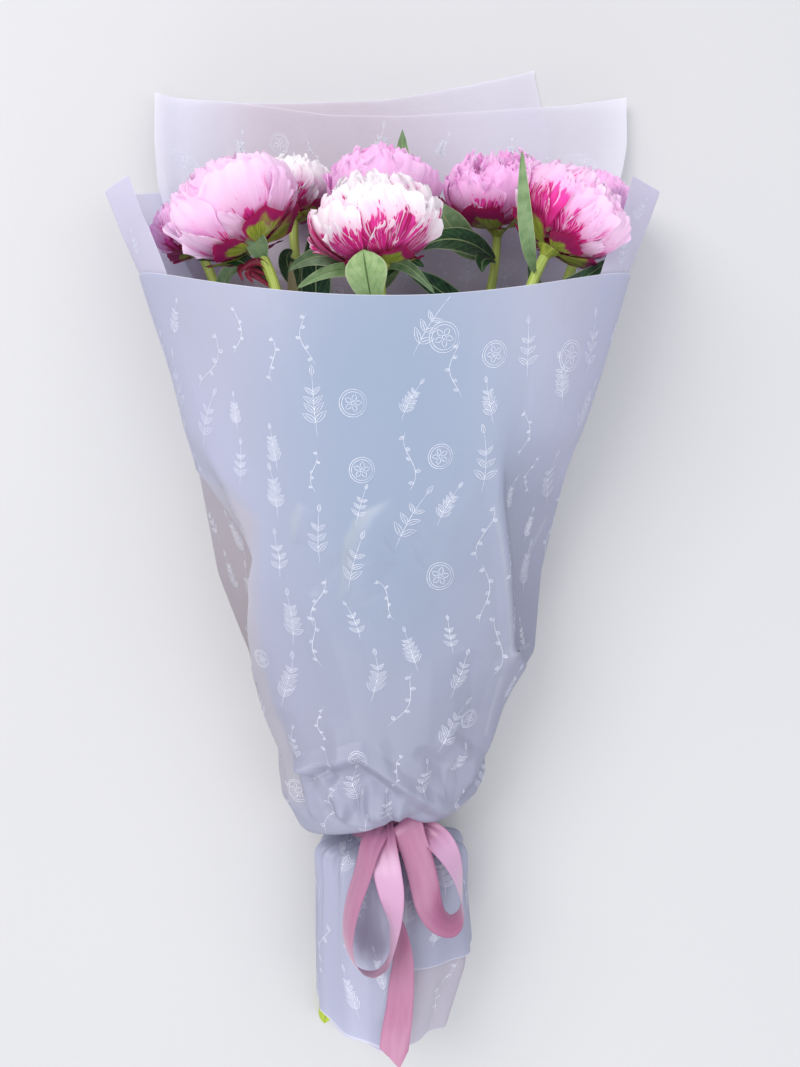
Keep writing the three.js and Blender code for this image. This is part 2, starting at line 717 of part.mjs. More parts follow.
FLOWERS.forEach((flower, k) => {
  addPiece(`${flower.name}_stem`, stemGeometry(flower, k), materials.green);
  const { base, turn } = bloomPlacement(flower);
  const bloom = addPiece(`${flower.name}_bloom`, bloomGeometry(flower), materials[flower.colour]);
  bloom.position.copy(base);
  bloom.quaternion.copy(turn);
});

// The origin goes to the middle of the underside.
const box = new THREE.Box3().setFromObject(bunch, true);
const centre = box.getCenter(new THREE.Vector3());
const placed = new THREE.Group();
bunch.position.set(-centre.x, -centre.y, -box.min.z);
placed.add(bunch);

export default placed;
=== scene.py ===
import math
from collections import namedtuple

import bpy
import numpy as np
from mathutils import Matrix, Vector


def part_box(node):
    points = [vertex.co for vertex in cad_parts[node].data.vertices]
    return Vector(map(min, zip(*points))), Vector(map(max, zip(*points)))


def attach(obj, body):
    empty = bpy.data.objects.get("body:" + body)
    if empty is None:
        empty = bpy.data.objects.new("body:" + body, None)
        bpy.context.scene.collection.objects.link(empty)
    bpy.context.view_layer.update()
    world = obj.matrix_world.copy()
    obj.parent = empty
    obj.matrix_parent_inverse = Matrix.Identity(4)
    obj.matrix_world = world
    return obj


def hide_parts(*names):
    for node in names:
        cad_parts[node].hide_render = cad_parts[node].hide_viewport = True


# A bunch of eight double peonies in frosted film wrap, tied with satin ribbon, lying on its
# back. Shapes are worked out in millimetres: X to the right, Y from the cut ends to the
# flower heads, Z up. Parts.mesh turns them into metres in the frame's own place.

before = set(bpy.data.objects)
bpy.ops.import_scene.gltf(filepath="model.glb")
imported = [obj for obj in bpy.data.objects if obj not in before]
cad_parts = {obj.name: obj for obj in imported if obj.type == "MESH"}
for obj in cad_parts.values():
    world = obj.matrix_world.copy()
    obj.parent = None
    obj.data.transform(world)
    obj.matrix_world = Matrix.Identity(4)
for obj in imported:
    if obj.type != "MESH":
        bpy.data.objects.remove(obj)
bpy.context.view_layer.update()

# The tie and the bundle of stems in it.
TIE_X, TIE_Y = -7.0, -229.0
TIE_HALF_WIDTH = 27.0
TIE_LOW_Z, TIE_HIGH_Z = 27.0, 65.0
TIE_EASE = 1.6
BUNDLE_Z = 40.6

MM = 0.001
BINDING_MIDDLE = np.array([TIE_X, TIE_Y, BUNDLE_Z])
binding_low, binding_high = (np.array(corner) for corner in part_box("stem_binding"))
SHIFT = (binding_low + binding_high) / 2 - BINDING_MIDDLE * MM

# Camera: straight above the bunch, at the distance that the photograph's perspective gives.
CAMERA_HEIGHT = 696.0
FOCAL_PIXELS = 801.0
IMAGE_LONG_SIDE = 1067
SENSOR = 36.0

# Film: how far out each sheet lies, its lowest height, and the shape of its underside.
NEAR_SHEET_OUT = 0.0
FAR_SHEET_OUT = 1.4
SIDE_SHEET_OUT = 2.8
FRONT_SHEET_OUT = 4.2
FLOOR_RISE = 3.2
FILM_LOWEST = 0.15
SKIRT_EASE = 2.4
FLATTEN = 1.11
SQUARENESS = 0.7

Station = namedtuple("Station", "y left right top side low lift back sag", defaults=(0, 0, 0))

CONE_TOP = [
    Station(366, -240, 230, 110, 36, FLOOR_RISE),
    Station(330, -240, 230, 115, 44, FLOOR_RISE),
]
CONE_WINGS = [
    Station(268, -230, 202, 128, 60, FLOOR_RISE, back=30),
    Station(232, -213, 187, 150, 74, FLOOR_RISE, back=12),
]
CONE_BODY = [
    Station(194, -193, 170, 171, 86, FLOOR_RISE, lift=38),
    Station(124, -173, 150, 160, 82, FLOOR_RISE, lift=28),
    Station(44, -154, 126, 147, 76, FLOOR_RISE, lift=18),
    Station(-30, -141, 109, 136, 70, FLOOR_RISE, lift=10),
    Station(-92, -118, 104, 126, 65, FLOOR_RISE, lift=6),
    Station(-130, -110, 80, 119, 62, 4, lift=3),
]


def tie_at(y, grow):
    """The tie's outline as a station, grown all round."""
    return Station(y, TIE_X - TIE_HALF_WIDTH - grow, TIE_X + TIE_HALF_WIDTH + grow,
                   TIE_HIGH_Z + grow, (TIE_LOW_Z + TIE_HIGH_Z) / 2, TIE_LOW_Z - grow)


GATHER = [Station(-168, -78, 54, 100, 55, 10), tie_at(-207, 0), tie_at(-218, 0), tie_at(-244, 0)]
PUFF = [
    Station(-176, -95, 64, 110, 58, 9),
    Station(-204, -88, 51, 107, 56, 13),
    Station(-217, -75, 42, 99, 53, 19, sag=15),
    tie_at(-211, 6),
    tie_at(-218, TIE_EASE),
    tie_at(-245, TIE_EASE),
]
SKIRT = [
    Station(-253, -61, 47, 81, 46, 9),
    Station(-290, -63, 51, 85, 46, FLOOR_RISE),
    Station(-338, -62, 54, 85, 46, FLOOR_RISE),
    Station(-388, -57, 36, 81, 46, FLOOR_RISE),
]
HEM_START = -290.0
FRONT_HEM_END = -330.0
SKIRT_FROM = -275.0


# Small mathematics.

def smooth_step(low, high, x):
    """From 0 at low to 1 at high, with level ends."""
    t = np.clip((np.asarray(x, float) - low) / (high - low), 0, 1)
    return t * t * (3 - 2 * t)


def unit(v):
    v = np.asarray(v, float)
    return v / np.maximum(np.linalg.norm(v, axis=-1, keepdims=True), 1e-12)


def look_up(table, x):
    """A table of pairs, read at x along straight runs."""
    return np.interp(x, *np.array(table, float).T)


def run_length(points):
    """How far along a line each of its points lies."""
    return np.concatenate([[0], np.cumsum(np.linalg.norm(np.diff(points, axis=0), axis=-1))])


def stack(*values):
    """Grids of numbers as one grid of points."""
    return np.stack(np.broadcast_arrays(*values), axis=-1)


def span_grid(rows, columns, first=-1):
    """A row of numbers from first to 1, and a column of numbers from 0 to 1."""
    return np.linspace(first, 1, columns)[None, :], np.linspace(0, 1, rows)[:, None]


def full_turn(count):
    """Angles once round, the last at the first one's place."""
    return np.linspace(0, 2 * math.pi, count)


def rounded(x, y, xs, radius):
    """Straight runs through the rows of y at x, their corners rounded, at xs."""
    table = np.stack([np.interp(xs, x, column) for column in y.T], axis=1)
    reach = radius / (xs[1] - xs[0])
    steps = np.arange(-int(3 * reach) - 1, int(3 * reach) + 2)
    weights = np.exp(-0.5 * (steps / reach) ** 2)
    weights /= weights.sum()
    before = 2 * table[0] - table[1:len(steps) // 2 + 1][::-1]
    after = 2 * table[-1] - table[-len(steps) // 2:-1][::-1]
    padded = np.concatenate([before, table, after])
    return np.stack([np.convolve(c, weights, mode="valid") for c in padded.T], axis=1)


def catmull(points, count):
    """A smooth open curve through points, at count places, evenly along its length."""
    p = np.asarray(points, float)
    steps = np.linalg.norm(np.diff(p[:, :3], axis=0), axis=1)
    knots = np.concatenate([[0], np.cumsum(steps ** 0.5)])
    fine = np.linspace(0, knots[-1], 16 * len(p))
    slope = np.gradient(p, knots, axis=0)
    k = np.clip(np.searchsorted(knots, fine, side="right") - 1, 0, len(p) - 2)
    h = (knots[k + 1] - knots[k])[:, None]
    t = (fine - knots[k])[:, None] / h
    curve = (1 + 2 * t) * (1 - t) ** 2 * p[k] + t * (1 - t) ** 2 * h * slope[k]
    curve += t * t * (3 - 2 * t) * p[k + 1] + t * t * (t - 1) * h * slope[k + 1]
    length = run_length(curve[:, :3])
    places = np.linspace(0, length[-1], count)
    return np.stack([np.interp(places, length, column) for column in curve.T], axis=1)


def grid_normals(points):
    """Columns' direction crossed with the rows' upward direction."""
    return unit(np.cross(np.gradient(points, axis=1), -np.gradient(points, axis=0)))


def ripple(x, seed):
    """A smooth wavy line of x with no clear period, between about -1 and 1."""
    a = np.sin(2.1 * x + 5.1 * seed) + 0.6 * np.sin(4.7 * x + 9.7 * seed + 1)
    return (a + 0.4 * np.sin(9.3 * x + 3.3 * seed + 2)) / 2


# Mesh building.

def grid_faces(rows, columns, wrap):
    """Quads of a grid; with wrap the last column joins the first."""
    last = columns if wrap else columns - 1
    i, j = np.meshgrid(np.arange(rows - 1), np.arange(last), indexing="ij")
    right = (j + 1) % columns
    quads = [i * columns + j, (i + 1) * columns + j, (i + 1) * columns + right, i * columns + right]
    return np.stack(quads, axis=-1).reshape(-1, 4)


class Parts:
    """Collects grids into one mesh: points in mm, a texture place and a few numbers a point."""

    def __init__(self):
        self.points, self.faces, self.places, self.numbers = [], [], [], {}
        self.count = 0

    def add_grid(self, points, wrap=False, places=None, **numbers):
        rows, columns = points.shape[:2]
        if places is None:
            places = stack(*span_grid(rows, columns, 0))
        self.faces.append(grid_faces(rows, columns, wrap) + self.count)
        self.points.append(points.reshape(-1, 3))
        self.places.append(places.reshape(-1, 2))
        for key, value in numbers.items():
            flat = np.broadcast_to(value, (rows, columns)).reshape(-1)
            self.numbers.setdefault(key, []).append(flat)
        self.count += rows * columns

    def mesh(self, name, material, slot):
        """The grids as one smooth object that rides on the bunch."""
        mesh = bpy.data.meshes.new(name)
        points = np.concatenate(self.points) * MM + SHIFT
        mesh.from_pydata(points.tolist(), [], np.concatenate(self.faces).tolist())
        corners = np.zeros(len(mesh.loops), np.int32)
        mesh.loops.foreach_get("vertex_index", corners)
        places = np.concatenate(self.places)[corners].astype(np.float32)
        mesh.uv_layers.new(name="place").data.foreach_set("uv", places.reshape(-1))
        for key, values in self.numbers.items():
            values = np.concatenate(values).astype(np.float32)
            mesh.attributes.new(key, "FLOAT", "POINT").data.foreach_set("value", values)
        mesh.polygons.foreach_set("use_smooth", np.ones(len(mesh.polygons), bool))
        mesh.materials.append(material)
        mesh.validate()
        piece = bpy.data.objects.new(name, mesh)
        bpy.context.scene.collection.objects.link(piece)
        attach(piece, "root")
        return piece


# Materials: a small helper that writes a node graph as plain arithmetic.

class Value:
    """A node's output. Arithmetic on it adds a Math node."""

    def __init__(self, nodes, socket):
        self.nodes = nodes
        self.socket = socket

    def __add__(self, other):
        return self.nodes.math("ADD", self, other)

    def __sub__(self, other):
        return self.nodes.math("SUBTRACT", self, other)

    def __rsub__(self, other):
        return self.nodes.math("SUBTRACT", other, self)

    def __mul__(self, other):
        return self.nodes.math("MULTIPLY", self, other)

    def __abs__(self):
        return self.nodes.math("ABSOLUTE", self)


SHADER_SOCKETS = {
    "specular": "Specular IOR Level",
    "sheen": "Sheen Weight",
    "sheen_rough": "Sheen Roughness",
    "anisotropic": "Anisotropic",
}


class Nodes:
    """One material and the nodes that make it up."""

    def __init__(self, name):
        self.material = bpy.data.materials.new(name)
        self.material.use_nodes = True
        self.tree = self.material.node_tree
        self.tree.nodes.clear()

    def put(self, target, value):
        """Links a Value to a socket, or sets the socket's number or colour."""
        if isinstance(value, Value):
            self.tree.links.new(value.socket, target)
        else:
            target.default_value = (*value, 1) if isinstance(value, tuple) else value

    def node(self, kind, inputs, output=0, **settings):
        made = self.tree.nodes.new("ShaderNode" + kind)
        for key, value in settings.items():
            setattr(made, key, value)
        for key, value in inputs.items():
            self.put(made.inputs[key], value)
        return Value(self, made.outputs[output])

    def math(self, operation, *values):
        return self.node("Math", dict(enumerate(values)), operation=operation)

    def span(self, value, low, high, to_low=0.0, to_high=1.0):
        """A smooth step from to_low to to_high as the value goes from low to high."""
        numbers = dict(enumerate((value, low, high, to_low, to_high)))
        return self.node("MapRange", numbers, interpolation_type="SMOOTHSTEP")

    def mix(self, factor, a, b):
        return self.node("Mix", {0: factor, 6: a, 7: b}, 2, data_type="RGBA")

    def number(self, name):
        return self.node("Attribute", {}, 2, attribute_name=name)

    def noise(self, scale, detail=2.0, rough=0.5, vector=None):
        """Noise in the object's own space, or over a given vector."""
        if vector is None:
            vector = self.node("TexCoord", {}, "Object")
        inputs = {"Vector": vector, "Scale": scale, "Detail": detail, "Roughness": rough}
        return self.node("TexNoise", inputs)

    def place(self):
        """The texture place as two numbers."""
        pair = self.node("UVMap", {}, uv_map="place")
        return [self.node("SeparateXYZ", {0: pair}, axis) for axis in (0, 1)]

    def fibres(self, place, wide, long, shift=0.0, detail=2.0):
        """Noise over the texture place, with so many cycles across it and along it."""
        across, along = place
        vector = self.node("CombineXYZ", {0: across * wide, 1: along * long, 2: shift})
        return self.noise(1.0, detail, vector=vector)

    def bump(self, height, strength, distance):
        inputs = {"Strength": strength, "Distance": distance, "Height": height}
        return self.node("Bump", inputs)

    def finish(self, color, roughness, normal=None, through=0.0, clear=0.0, **values):
        """Principled, with a share of light let through and a share of plain sight through."""
        bent = {} if normal is None else {"Normal": normal}
        own = {SHADER_SOCKETS[key]: value for key, value in values.items()}
        inputs = {"Base Color": color, "Roughness": roughness, **own, **bent}
        result = self.node("BsdfPrincipled", inputs)
        if through:
            glow = self.node("BsdfTranslucent", {"Color": color, **bent})
            result = self.node("MixShader", {0: through, 1: result, 2: glow})
        if clear:
            open_share = self.node("BsdfTransparent", {})
            result = self.node("MixShader", {0: clear, 1: result, 2: open_share})
        end = self.tree.nodes.new("ShaderNodeOutputMaterial")
        self.put(end.inputs[0], result)
        return self.material


# Film: middle, edge and shade colours, the share of light let through and of sight through.
FILM_LOOKS = {
    "film_back": ((0.69, 0.62, 0.7), (0.83, 0.82, 0.91), (0.3, 0.24, 0.29), 0.42, 0.1),
    "film_side": ((0.64, 0.65, 0.82), (0.64, 0.63, 0.78), (0.4, 0.34, 0.36), 0.36, 0.05),
    "film_front": ((0.345, 0.43, 0.585), (0.5, 0.515, 0.665), (0.27, 0.28, 0.375), 0.3, 0.02),
}
FILM_WARM = (0.5, 0.475, 0.53)
# Painted highlight along the front film's creases.
FILM_CREASE_HIGHLIGHT = (0.55, 0.6, 0.64)
# Painted highlight along the film's cut edges.
FILM_CUT_EDGE_HIGHLIGHT = (0.85, 0.85, 0.93)
INK_COLORS = (0.72, 0.75, 0.86), (0.9, 0.92, 0.98)


def film_material(name, middle, edge, deep, through, clear):
    """Frosted film: a cloudy tint with fine crinkle, painted shade, a painted highlight along creases,
    and a thin painted highlight along its cut edges.
    """
    n = Nodes(name)
    across, along = n.place()
    cloud = n.noise(7.0, 3.0)
    tint = n.mix(n.number("tint"), middle, edge)
    tint = n.mix(n.span(cloud, 0.3, 0.75, 0.0, 0.3), tint, tuple(0.9 * c for c in edge))
    # Painted shade (shade), a warm tone (warm) and a painted highlight along creases (pale).
    for key, most, color in (("shade", 0.8, deep), ("warm", 0.8, FILM_WARM), ("pale", 0.42, FILM_CREASE_HIGHLIGHT)):
        tint = n.mix(n.number(key) * most, tint, color)
    # A painted highlight along the sheet's cut edges, where they catch the light.
    to_side = (0.5 - abs(across - 0.5)) * n.number("width")
    to_end = (0.5 - abs(along - 0.5)) * n.number("length")
    margin = n.math("MINIMUM", to_side, to_end)
    tint = n.mix(n.span(margin, 1.0, 0.4, 0.0, 0.5), tint, FILM_CUT_EDGE_HIGHLIGHT)
    crinkle = n.noise(55.0, 4.0, 0.62)
    grain = n.noise(900.0)
    normal = n.bump(crinkle + grain * 0.06, 0.14, 0.004)
    rough = n.span(cloud, 0.3, 0.7, 0.3, 0.42)
    return n.finish(tint, rough, normal, through=through, clear=clear, specular=0.45)


def print_material():
    """White ink on the film, a little worn."""
    n = Nodes("film_ink")
    color = n.mix(n.span(n.noise(420.0), 0.35, 0.65), *INK_COLORS)
    return n.finish(color, 0.5, through=0.3, specular=0.3)


SATIN_COLORS = (0.42, 0.17, 0.29), (0.47, 0.2, 0.33)
SATIN_SLUB = (0.37, 0.125, 0.24)
# Paler lilac where the ribbon's other face shows: mostly a painted highlight.
SATIN_INNER_HIGHLIGHT = (0.66, 0.4, 0.6)
SATIN_SELVAGE = (0.33, 0.09, 0.2)


def ribbon_material():
    """Satin: fine threads along and across, a soft sheen, darker selvages, and a paler lilac where its
    other face shows, mostly a painted highlight.
    """
    n = Nodes("ribbon_satin")
    place = across, along = n.place()
    threads = n.fibres(place, 160.0, 0.08)
    slub = n.fibres(place, 5.0, 0.03, 3.0)
    weft = n.math("SINE", along * 9.0)
    selvage = n.span(abs(across - 0.5), 0.45, 0.475)
    color = n.mix(n.span(threads, 0.25, 0.75), *SATIN_COLORS)
    color = n.mix(n.span(slub, 0.35, 0.7, 0.0, 0.4), color, SATIN_SLUB)
    # Painted highlight where the other face shows.
    color = n.mix(n.number("inner") * 0.75, color, SATIN_INNER_HIGHLIGHT)
    color = n.mix(selvage * 0.4, color, SATIN_SELVAGE)
    normal = n.bump(threads * 0.5 + weft * 0.1 + selvage * 0.8, 0.1, 0.0005)
    return n.finish(color, 0.32, normal, through=0.12, specular=0.6,
                    sheen=0.5, sheen_rough=0.35, anisotropic=0.5)


# Petals: tip, blush and root colours, and how unevenly their flames reach up.
PETAL_LOOKS = {
    "pink": ((0.99, 0.68, 0.95), (0.98, 0.5, 0.86), (0.6, 0.6, 0.3), 0.8),
    "pale": ((0.99, 0.78, 0.96), (0.98, 0.58, 0.9), (0.62, 0.62, 0.34), 0.85),
    "white": ((0.99, 0.97, 0.985), (0.97, 0.85, 0.94), (0.66, 0.64, 0.36), 0.95),
}
FLAME_HALO = (0.95, 0.28, 0.68)
PETAL_EDGE_MAGENTA = (0.75, 0.04, 0.36)
FLAME_DEEP = (0.75, 0.012, 0.25)
FLAME_FINE = (0.42, 0.0, 0.09), (0.95, 0.08, 0.5)


def petal_material(name, tip, blush, root, spread):
    """Petal: tip colour fading through blush, with flames that run up from the root."""
    n = Nodes(name)
    place = across, up = n.place()
    reach, tone = n.number("reach"), n.number("tone")
    turn = n.number("seed") * 37.0
    broad = n.fibres(place, 3.6, 1.0, turn)
    fine = n.fibres(place, 24.0, 1.7, turn, 3.0)
    fingers = n.fibres(place, 38.0, 2.4, turn, 1.0)
    dashes = n.fibres(place, 30.0, 6.0, turn, 1.0)
    vein = n.fibres(place, 90.0, 1.2, turn, 1.0)
    line = reach + ((broad - 0.5) * spread + (fine - 0.5) * 0.32) - up
    white = n.span(fingers, 0.57, 0.63) * n.span(line, 0.5, 0.14)
    flame = n.span(line, -0.02, 0.04) * (1.0 - white)
    spots = n.span(dashes, 0.66, 0.7) * n.span(line, -0.34, -0.1) * n.span(reach, 0.12, 0.4)
    color = n.mix(n.span(up, 0.1, 0.85), blush, tip)
    color = n.mix(tone * 0.45, color, blush)
    color = n.mix(n.span(vein, 0.45, 0.75) * 0.3, color, blush)
    color = n.mix(n.span(line, -0.3, 0.05, 0.0, 0.4), color, FLAME_HALO)
    # Some petals turn darker magenta along their side edges.
    flush = n.span(abs(across - 0.5), 0.42, 0.49) * n.span(fine, 0.4, 0.55) * n.span(up, 0.9, 0.6)
    color = n.mix(flush * n.span(tone, 0.35, 0.7), color, PETAL_EDGE_MAGENTA)
    deep = n.mix(n.span(fine, 0.36, 0.6), *FLAME_FINE)
    deep = n.mix(n.span(broad, 0.35, 0.65), FLAME_DEEP, deep)
    color = n.mix(n.math("MAXIMUM", flame, spots), color, deep)
    color = n.mix(n.span(up, 0.16, 0.02), color, root)
    normal = n.bump(fine * 0.6 + vein * 0.35, 0.3, 0.0012)
    return n.finish(color, 0.5, normal, through=0.36, specular=0.3, sheen=0.25, sheen_rough=0.4)


SEPAL_GREENS = (0.22, 0.3, 0.03), (0.52, 0.6, 0.08)
SEPAL_LIME = (0.6, 0.62, 0.28)
SEPAL_CRIMSON = (0.36, 0.014, 0.12)
SEPAL_RIM = (0.42, 0.01, 0.1)


def sepal_material():
    """Lime to olive with a thin crimson rim, some crimson over their upper half."""
    n = Nodes("sepal_green")
    place = across, up = n.place()
    turn = n.number("seed") * 23.0
    rim = n.math("MAXIMUM", abs(across - 0.5) * 2.0, up)
    blotch = n.fibres(place, 3.0, 2.6, turn, 3.0)
    streak = n.fibres(place, 34.0, 2.0, turn)
    color = n.mix(n.span(streak, 0.3, 0.7), *SEPAL_GREENS)
    color = n.mix(n.span(blotch, 0.45, 0.75, 0.0, 0.5), color, SEPAL_LIME)
    red = up * 1.35 + (blotch - 1.16) + n.number("red")
    color = n.mix(n.span(red, 0.25, 0.5), color, SEPAL_CRIMSON)
    color = n.mix(n.span(rim, 0.9, 0.97) * 0.85, color, SEPAL_RIM)
    return n.finish(color, 0.42, n.bump(streak, 0.3, 0.0012), through=0.2, specular=0.4)


LEAF_PALE = (0.22, 0.37, 0.13), (0.35, 0.49, 0.22)
LEAF_GREY = (0.13, 0.24, 0.1), (0.22, 0.34, 0.16)
LEAF_DARK = (0.006, 0.035, 0.012), (0.025, 0.1, 0.035)
LEAF_LIME = (0.44, 0.56, 0.04)
LEAF_VEINS = (0.08, 0.14, 0.03), (0.34, 0.45, 0.19)
LEAF_MARGIN = (0.42, 0.5, 0.28)
LEAF_CURLED = (0.5, 0.42, 0.22), (0.26, 0.02, 0.05)


def leaf_material():
    """Leaf blade: pale rib, side veins, and a tone from grey green to dark glossy green."""
    n = Nodes("peony_leaf")
    across, up = n.place()
    tone = n.number("tone")
    side = abs(across - 0.5)
    wave = abs(n.math("SINE", (up * 9.0 + side * -5.0) * math.pi))
    veins = n.math("MAXIMUM", n.span(side, 0.035, 0.012), n.span(wave, 0.14, 0.02) * 0.45)
    mottle = n.noise(160.0, 3.0)
    patches = n.span(mottle, 0.3, 0.7)
    pale, grey, dark = (n.mix(patches, *pair) for pair in (LEAF_PALE, LEAF_GREY, LEAF_DARK))
    color = n.mix(n.span(tone, 0.0, 0.25), pale, grey)
    color = n.mix(n.span(tone, 0.3, 1.0), color, dark)
    color = n.mix(n.span(tone, 0.0, -0.1), color, LEAF_LIME)
    color = n.mix(veins, color, n.mix(n.span(tone, 0.05, 0.3), *LEAF_VEINS))
    color = n.mix(n.span(side, 0.44, 0.485) * 0.8, color, LEAF_MARGIN)
    odd = n.math("MAXIMUM", n.span(tone, 1.2, 1.8), n.span(tone, -0.2, -0.8))
    color = n.mix(odd, color, n.mix(n.span(tone, 0.0, 1.0), *LEAF_CURLED))
    normal = n.bump(mottle * 0.25 - veins, 0.35, 0.0012)
    return n.finish(color, 0.42, normal, through=0.22, specular=0.5)


STEM_GREENS = (0.3, 0.42, 0.06), (0.52, 0.62, 0.14)
STEM_FLUSH = (0.33, 0.13, 0.06)
STEM_CUT = (0.62, 0.66, 0.36)


def stem_material():
    """Stem: yellow green with a reddish flush along one side, fine ridges, pale cut end."""
    n = Nodes("peony_stem")
    place = n.place()
    streak = n.fibres(place, 16.0, 0.03, 0.0, 3.0)
    flush = n.fibres(place, 3.0, 0.012, 4.0)
    color = n.mix(n.span(streak, 0.3, 0.7), *STEM_GREENS)
    color = n.mix(n.span(flush, 0.55, 0.75, 0.0, 0.5), color, STEM_FLUSH)
    color = n.mix(n.number("cut"), color, STEM_CUT)
    return n.finish(color, 0.42, n.bump(streak, 0.35, 0.0015), specular=0.4)


RAFFIA_COLORS = (0.42, 0.3, 0.14), (0.66, 0.52, 0.3)


def raffia_material():
    """Dry raffia: fibres along the strand, straw coloured with browner streaks."""
    n = Nodes("binding_raffia")
    fibre = n.fibres(n.place(), 22.0, 0.05, 0.0, 3.0)
    color = n.mix(n.span(fibre, 0.3, 0.7), *RAFFIA_COLORS)
    return n.finish(color, 0.8, n.bump(fibre, 0.6, 0.0006))


FLOOR_COLORS = (0.535, 0.535, 0.548), (0.555, 0.555, 0.565)


def floor_material():
    n = Nodes("studio_floor")
    color = n.mix(n.span(n.noise(1.3), 0.3, 0.7), *FLOOR_COLORS)
    return n.finish(color, 0.8, specular=0.1)


# The film envelope. A station is one cross-section: its height up the bunch at the sides (y),
# its edges, its top, the height of its widest points (side) and its underside (low). Its front
# centre hangs lower by lift, its underside reaches further up by back, and its left front
# slumps by sag. An angle of 0 is the front centre, 90 the right side.

LOWER_POWER = 1.35


def envelope(angle, rows):
    """Points for angles (rows x columns) of station rows given as an array of fields."""
    y, left, right, top, side, low, lift, back, sag = (rows[:, k:k + 1] for k in range(9))
    s, c = np.sin(np.radians(angle)), np.cos(np.radians(angle))
    middle, half = (left + right) / 2, (right - left) / 2
    slump = sag * (np.maximum(0, -s) - 0.45 * np.exp(-((angle - 18) / 15) ** 2))
    upper = stack(middle + half * s, y - lift * c * c - slump, side + (top - side) * c)
    drop = np.minimum(1, FLATTEN * np.abs(c) ** SQUARENESS)
    lower_x = middle + half * np.sign(s) * np.abs(s) ** SQUARENESS
    lower = stack(lower_x, y + back * drop, side - (side - low) * drop)
    return np.where((c >= 0)[..., None], upper, lower)


def turn_to_angle(turn):
    """Quarter turns to degrees, with the lower quarters drawn out next to the widest points."""
    mirrored = np.where(turn > 2, 4 - turn, np.abs(turn))
    lower = 90 + 90 * np.clip(mirrored - 1, 0, 1) ** LOWER_POWER
    angle = np.where(mirrored <= 1, 90 * mirrored, lower)
    return np.where(turn > 2, 360 - angle, np.sign(turn) * angle)


def angle_to_turn(angle):
    mirrored = np.where(angle > 180, 360 - angle, np.abs(angle))
    lower = 1 + np.clip((mirrored - 90) / 90, 0, 1) ** (1 / LOWER_POWER)
    turn = np.where(mirrored <= 90, mirrored / 90, lower)
    return np.where(angle > 180, 4 - turn, np.sign(angle) * turn)


def signed(angle):
    """The same angle between -180 and 180."""
    return (angle + 180) % 360 - 180


def waves(angle, y):
    """Soft unevenness that all sheets share, none where the film lies flat or is tied."""
    a = np.radians(angle)
    free = smooth_step(-0.45, 0.0, np.cos(a)) * smooth_step(14, 60, np.abs(y - TIE_Y))
    form = 0.9 * np.sin(3 * a + y / 52) + 0.6 * np.sin(5 * a - y / 37 + 2)
    return free * (form + 0.4 * np.sin(9 * a + y / 23 + 1) - 0.6)


# Creases down the sides of the cone, as angles for heights up the bunch. The film is flat
# between each and a line next to the widest points, and sinks in there by its depth.
LEFT_CREASE = [(-190, -60), (-113, -72), (-98, -67), (-44, -50), (-11, -43), (8, -46), (80, -60)]
RIGHT_CREASE = [(-190, 62), (-157, 70), (-100, 70), (-87, 51), (-28, 46), (38, 35), (80, 34)]
CREASE_SIDES = ((LEFT_CREASE, -92, 2.0), (RIGHT_CREASE, 92, 4.0))
CREASE_START, CREASE_FULL, CREASE_FADE, CREASE_END = -185, -165, 40, 85
WING_FLAP = (59.0, 84.0)
WING_START, WING_FULL = 196, 236


def crease_share(y):
    fading = 1 - smooth_step(CREASE_FADE, CREASE_END, y)
    return smooth_step(CREASE_START, CREASE_FULL, y) * fading


def hollows(angle, y):
    """The flat stretches sink in a little between their creases and the sides."""
    total = 0
    for crease, side, depth in CREASE_SIDES:
        line = look_up(crease, y)
        t = np.clip((signed(angle) - line) / (side - line), 0, 1)
        total = total - depth * np.sin(math.pi * t ** 0.7)
    return total * crease_share(y)


def flattened(points, angle, fields, line, side, share):
    """The points, drawn flat between two angles of the envelope."""
    t = (angle - line) / (side - line)
    a = envelope(line * np.ones_like(angle), fields)
    b = envelope(side * np.ones_like(angle), fields)
    chord = a + (b - a) * t[..., None]
    within = ((t > 0) & (t < 1)) * share
    return points + (chord - points) * within[..., None]


def facets(points, angle, fields):
    """Flattens the film between its creases and its sides, and the wings' flaps."""
    y = fields[:, :1]
    angle = signed(angle)
    for crease, side, _ in CREASE_SIDES:
        points = flattened(points, angle, fields, look_up(crease, y), side, crease_share(y))
    high = smooth_step(WING_START, WING_FULL, y)
    for side in (-1, 1):
        points = flattened(points, angle, fields, side * WING_FLAP[0], side * WING_FLAP[1], high)
    return points


PLEATS = 15
PLEAT_DEPTH = 3.0
PLEAT_START, PLEAT_FULL = 12, 26
PLEAT_RUN_OUT = 24


def pleats(angle, y):
    """Gathers next to the tie, strongest just outside the ribbon."""
    a = np.radians(angle)
    away = np.abs(y - TIE_Y)
    strength = np.exp(-np.maximum(0, away - PLEAT_FULL) / PLEAT_RUN_OUT)
    strength = strength * smooth_step(PLEAT_START, PLEAT_FULL, away)
    flat = smooth_step(-0.75, -0.2, np.cos(a))
    held = np.where((y < SKIRT_FROM) | (y > CREASE_START), flat, 1)
    turn = PLEATS * (a + 0.16 * np.sin(2 * a + 0.7) + 0.07 * np.sin(5 * a)) + (y - TIE_Y) / 60
    return PLEAT_DEPTH * strength * held * (np.sin(turn) + 0.35 * np.sin(2 * turn + 0.6) - 0.35)


FILM_CORNER = 2.6
FRONT_KEPT_FROM = -30.0
# How much a station's height, edges and top count in its distance from the one before.
STATION_SHARES = (1, 0.5, 0.5, 0.5)


def narrowed(angle, edge):
    """Angles whose first stretch is drawn in, so that each row starts at its edge."""
    share = (angle - FRONT_KEPT_FROM) / (angle[:, :1] - FRONT_KEPT_FROM)
    moved = FRONT_KEPT_FROM + share * (edge[:, None] - FRONT_KEPT_FROM)
    return np.where(share > 0, moved, angle)


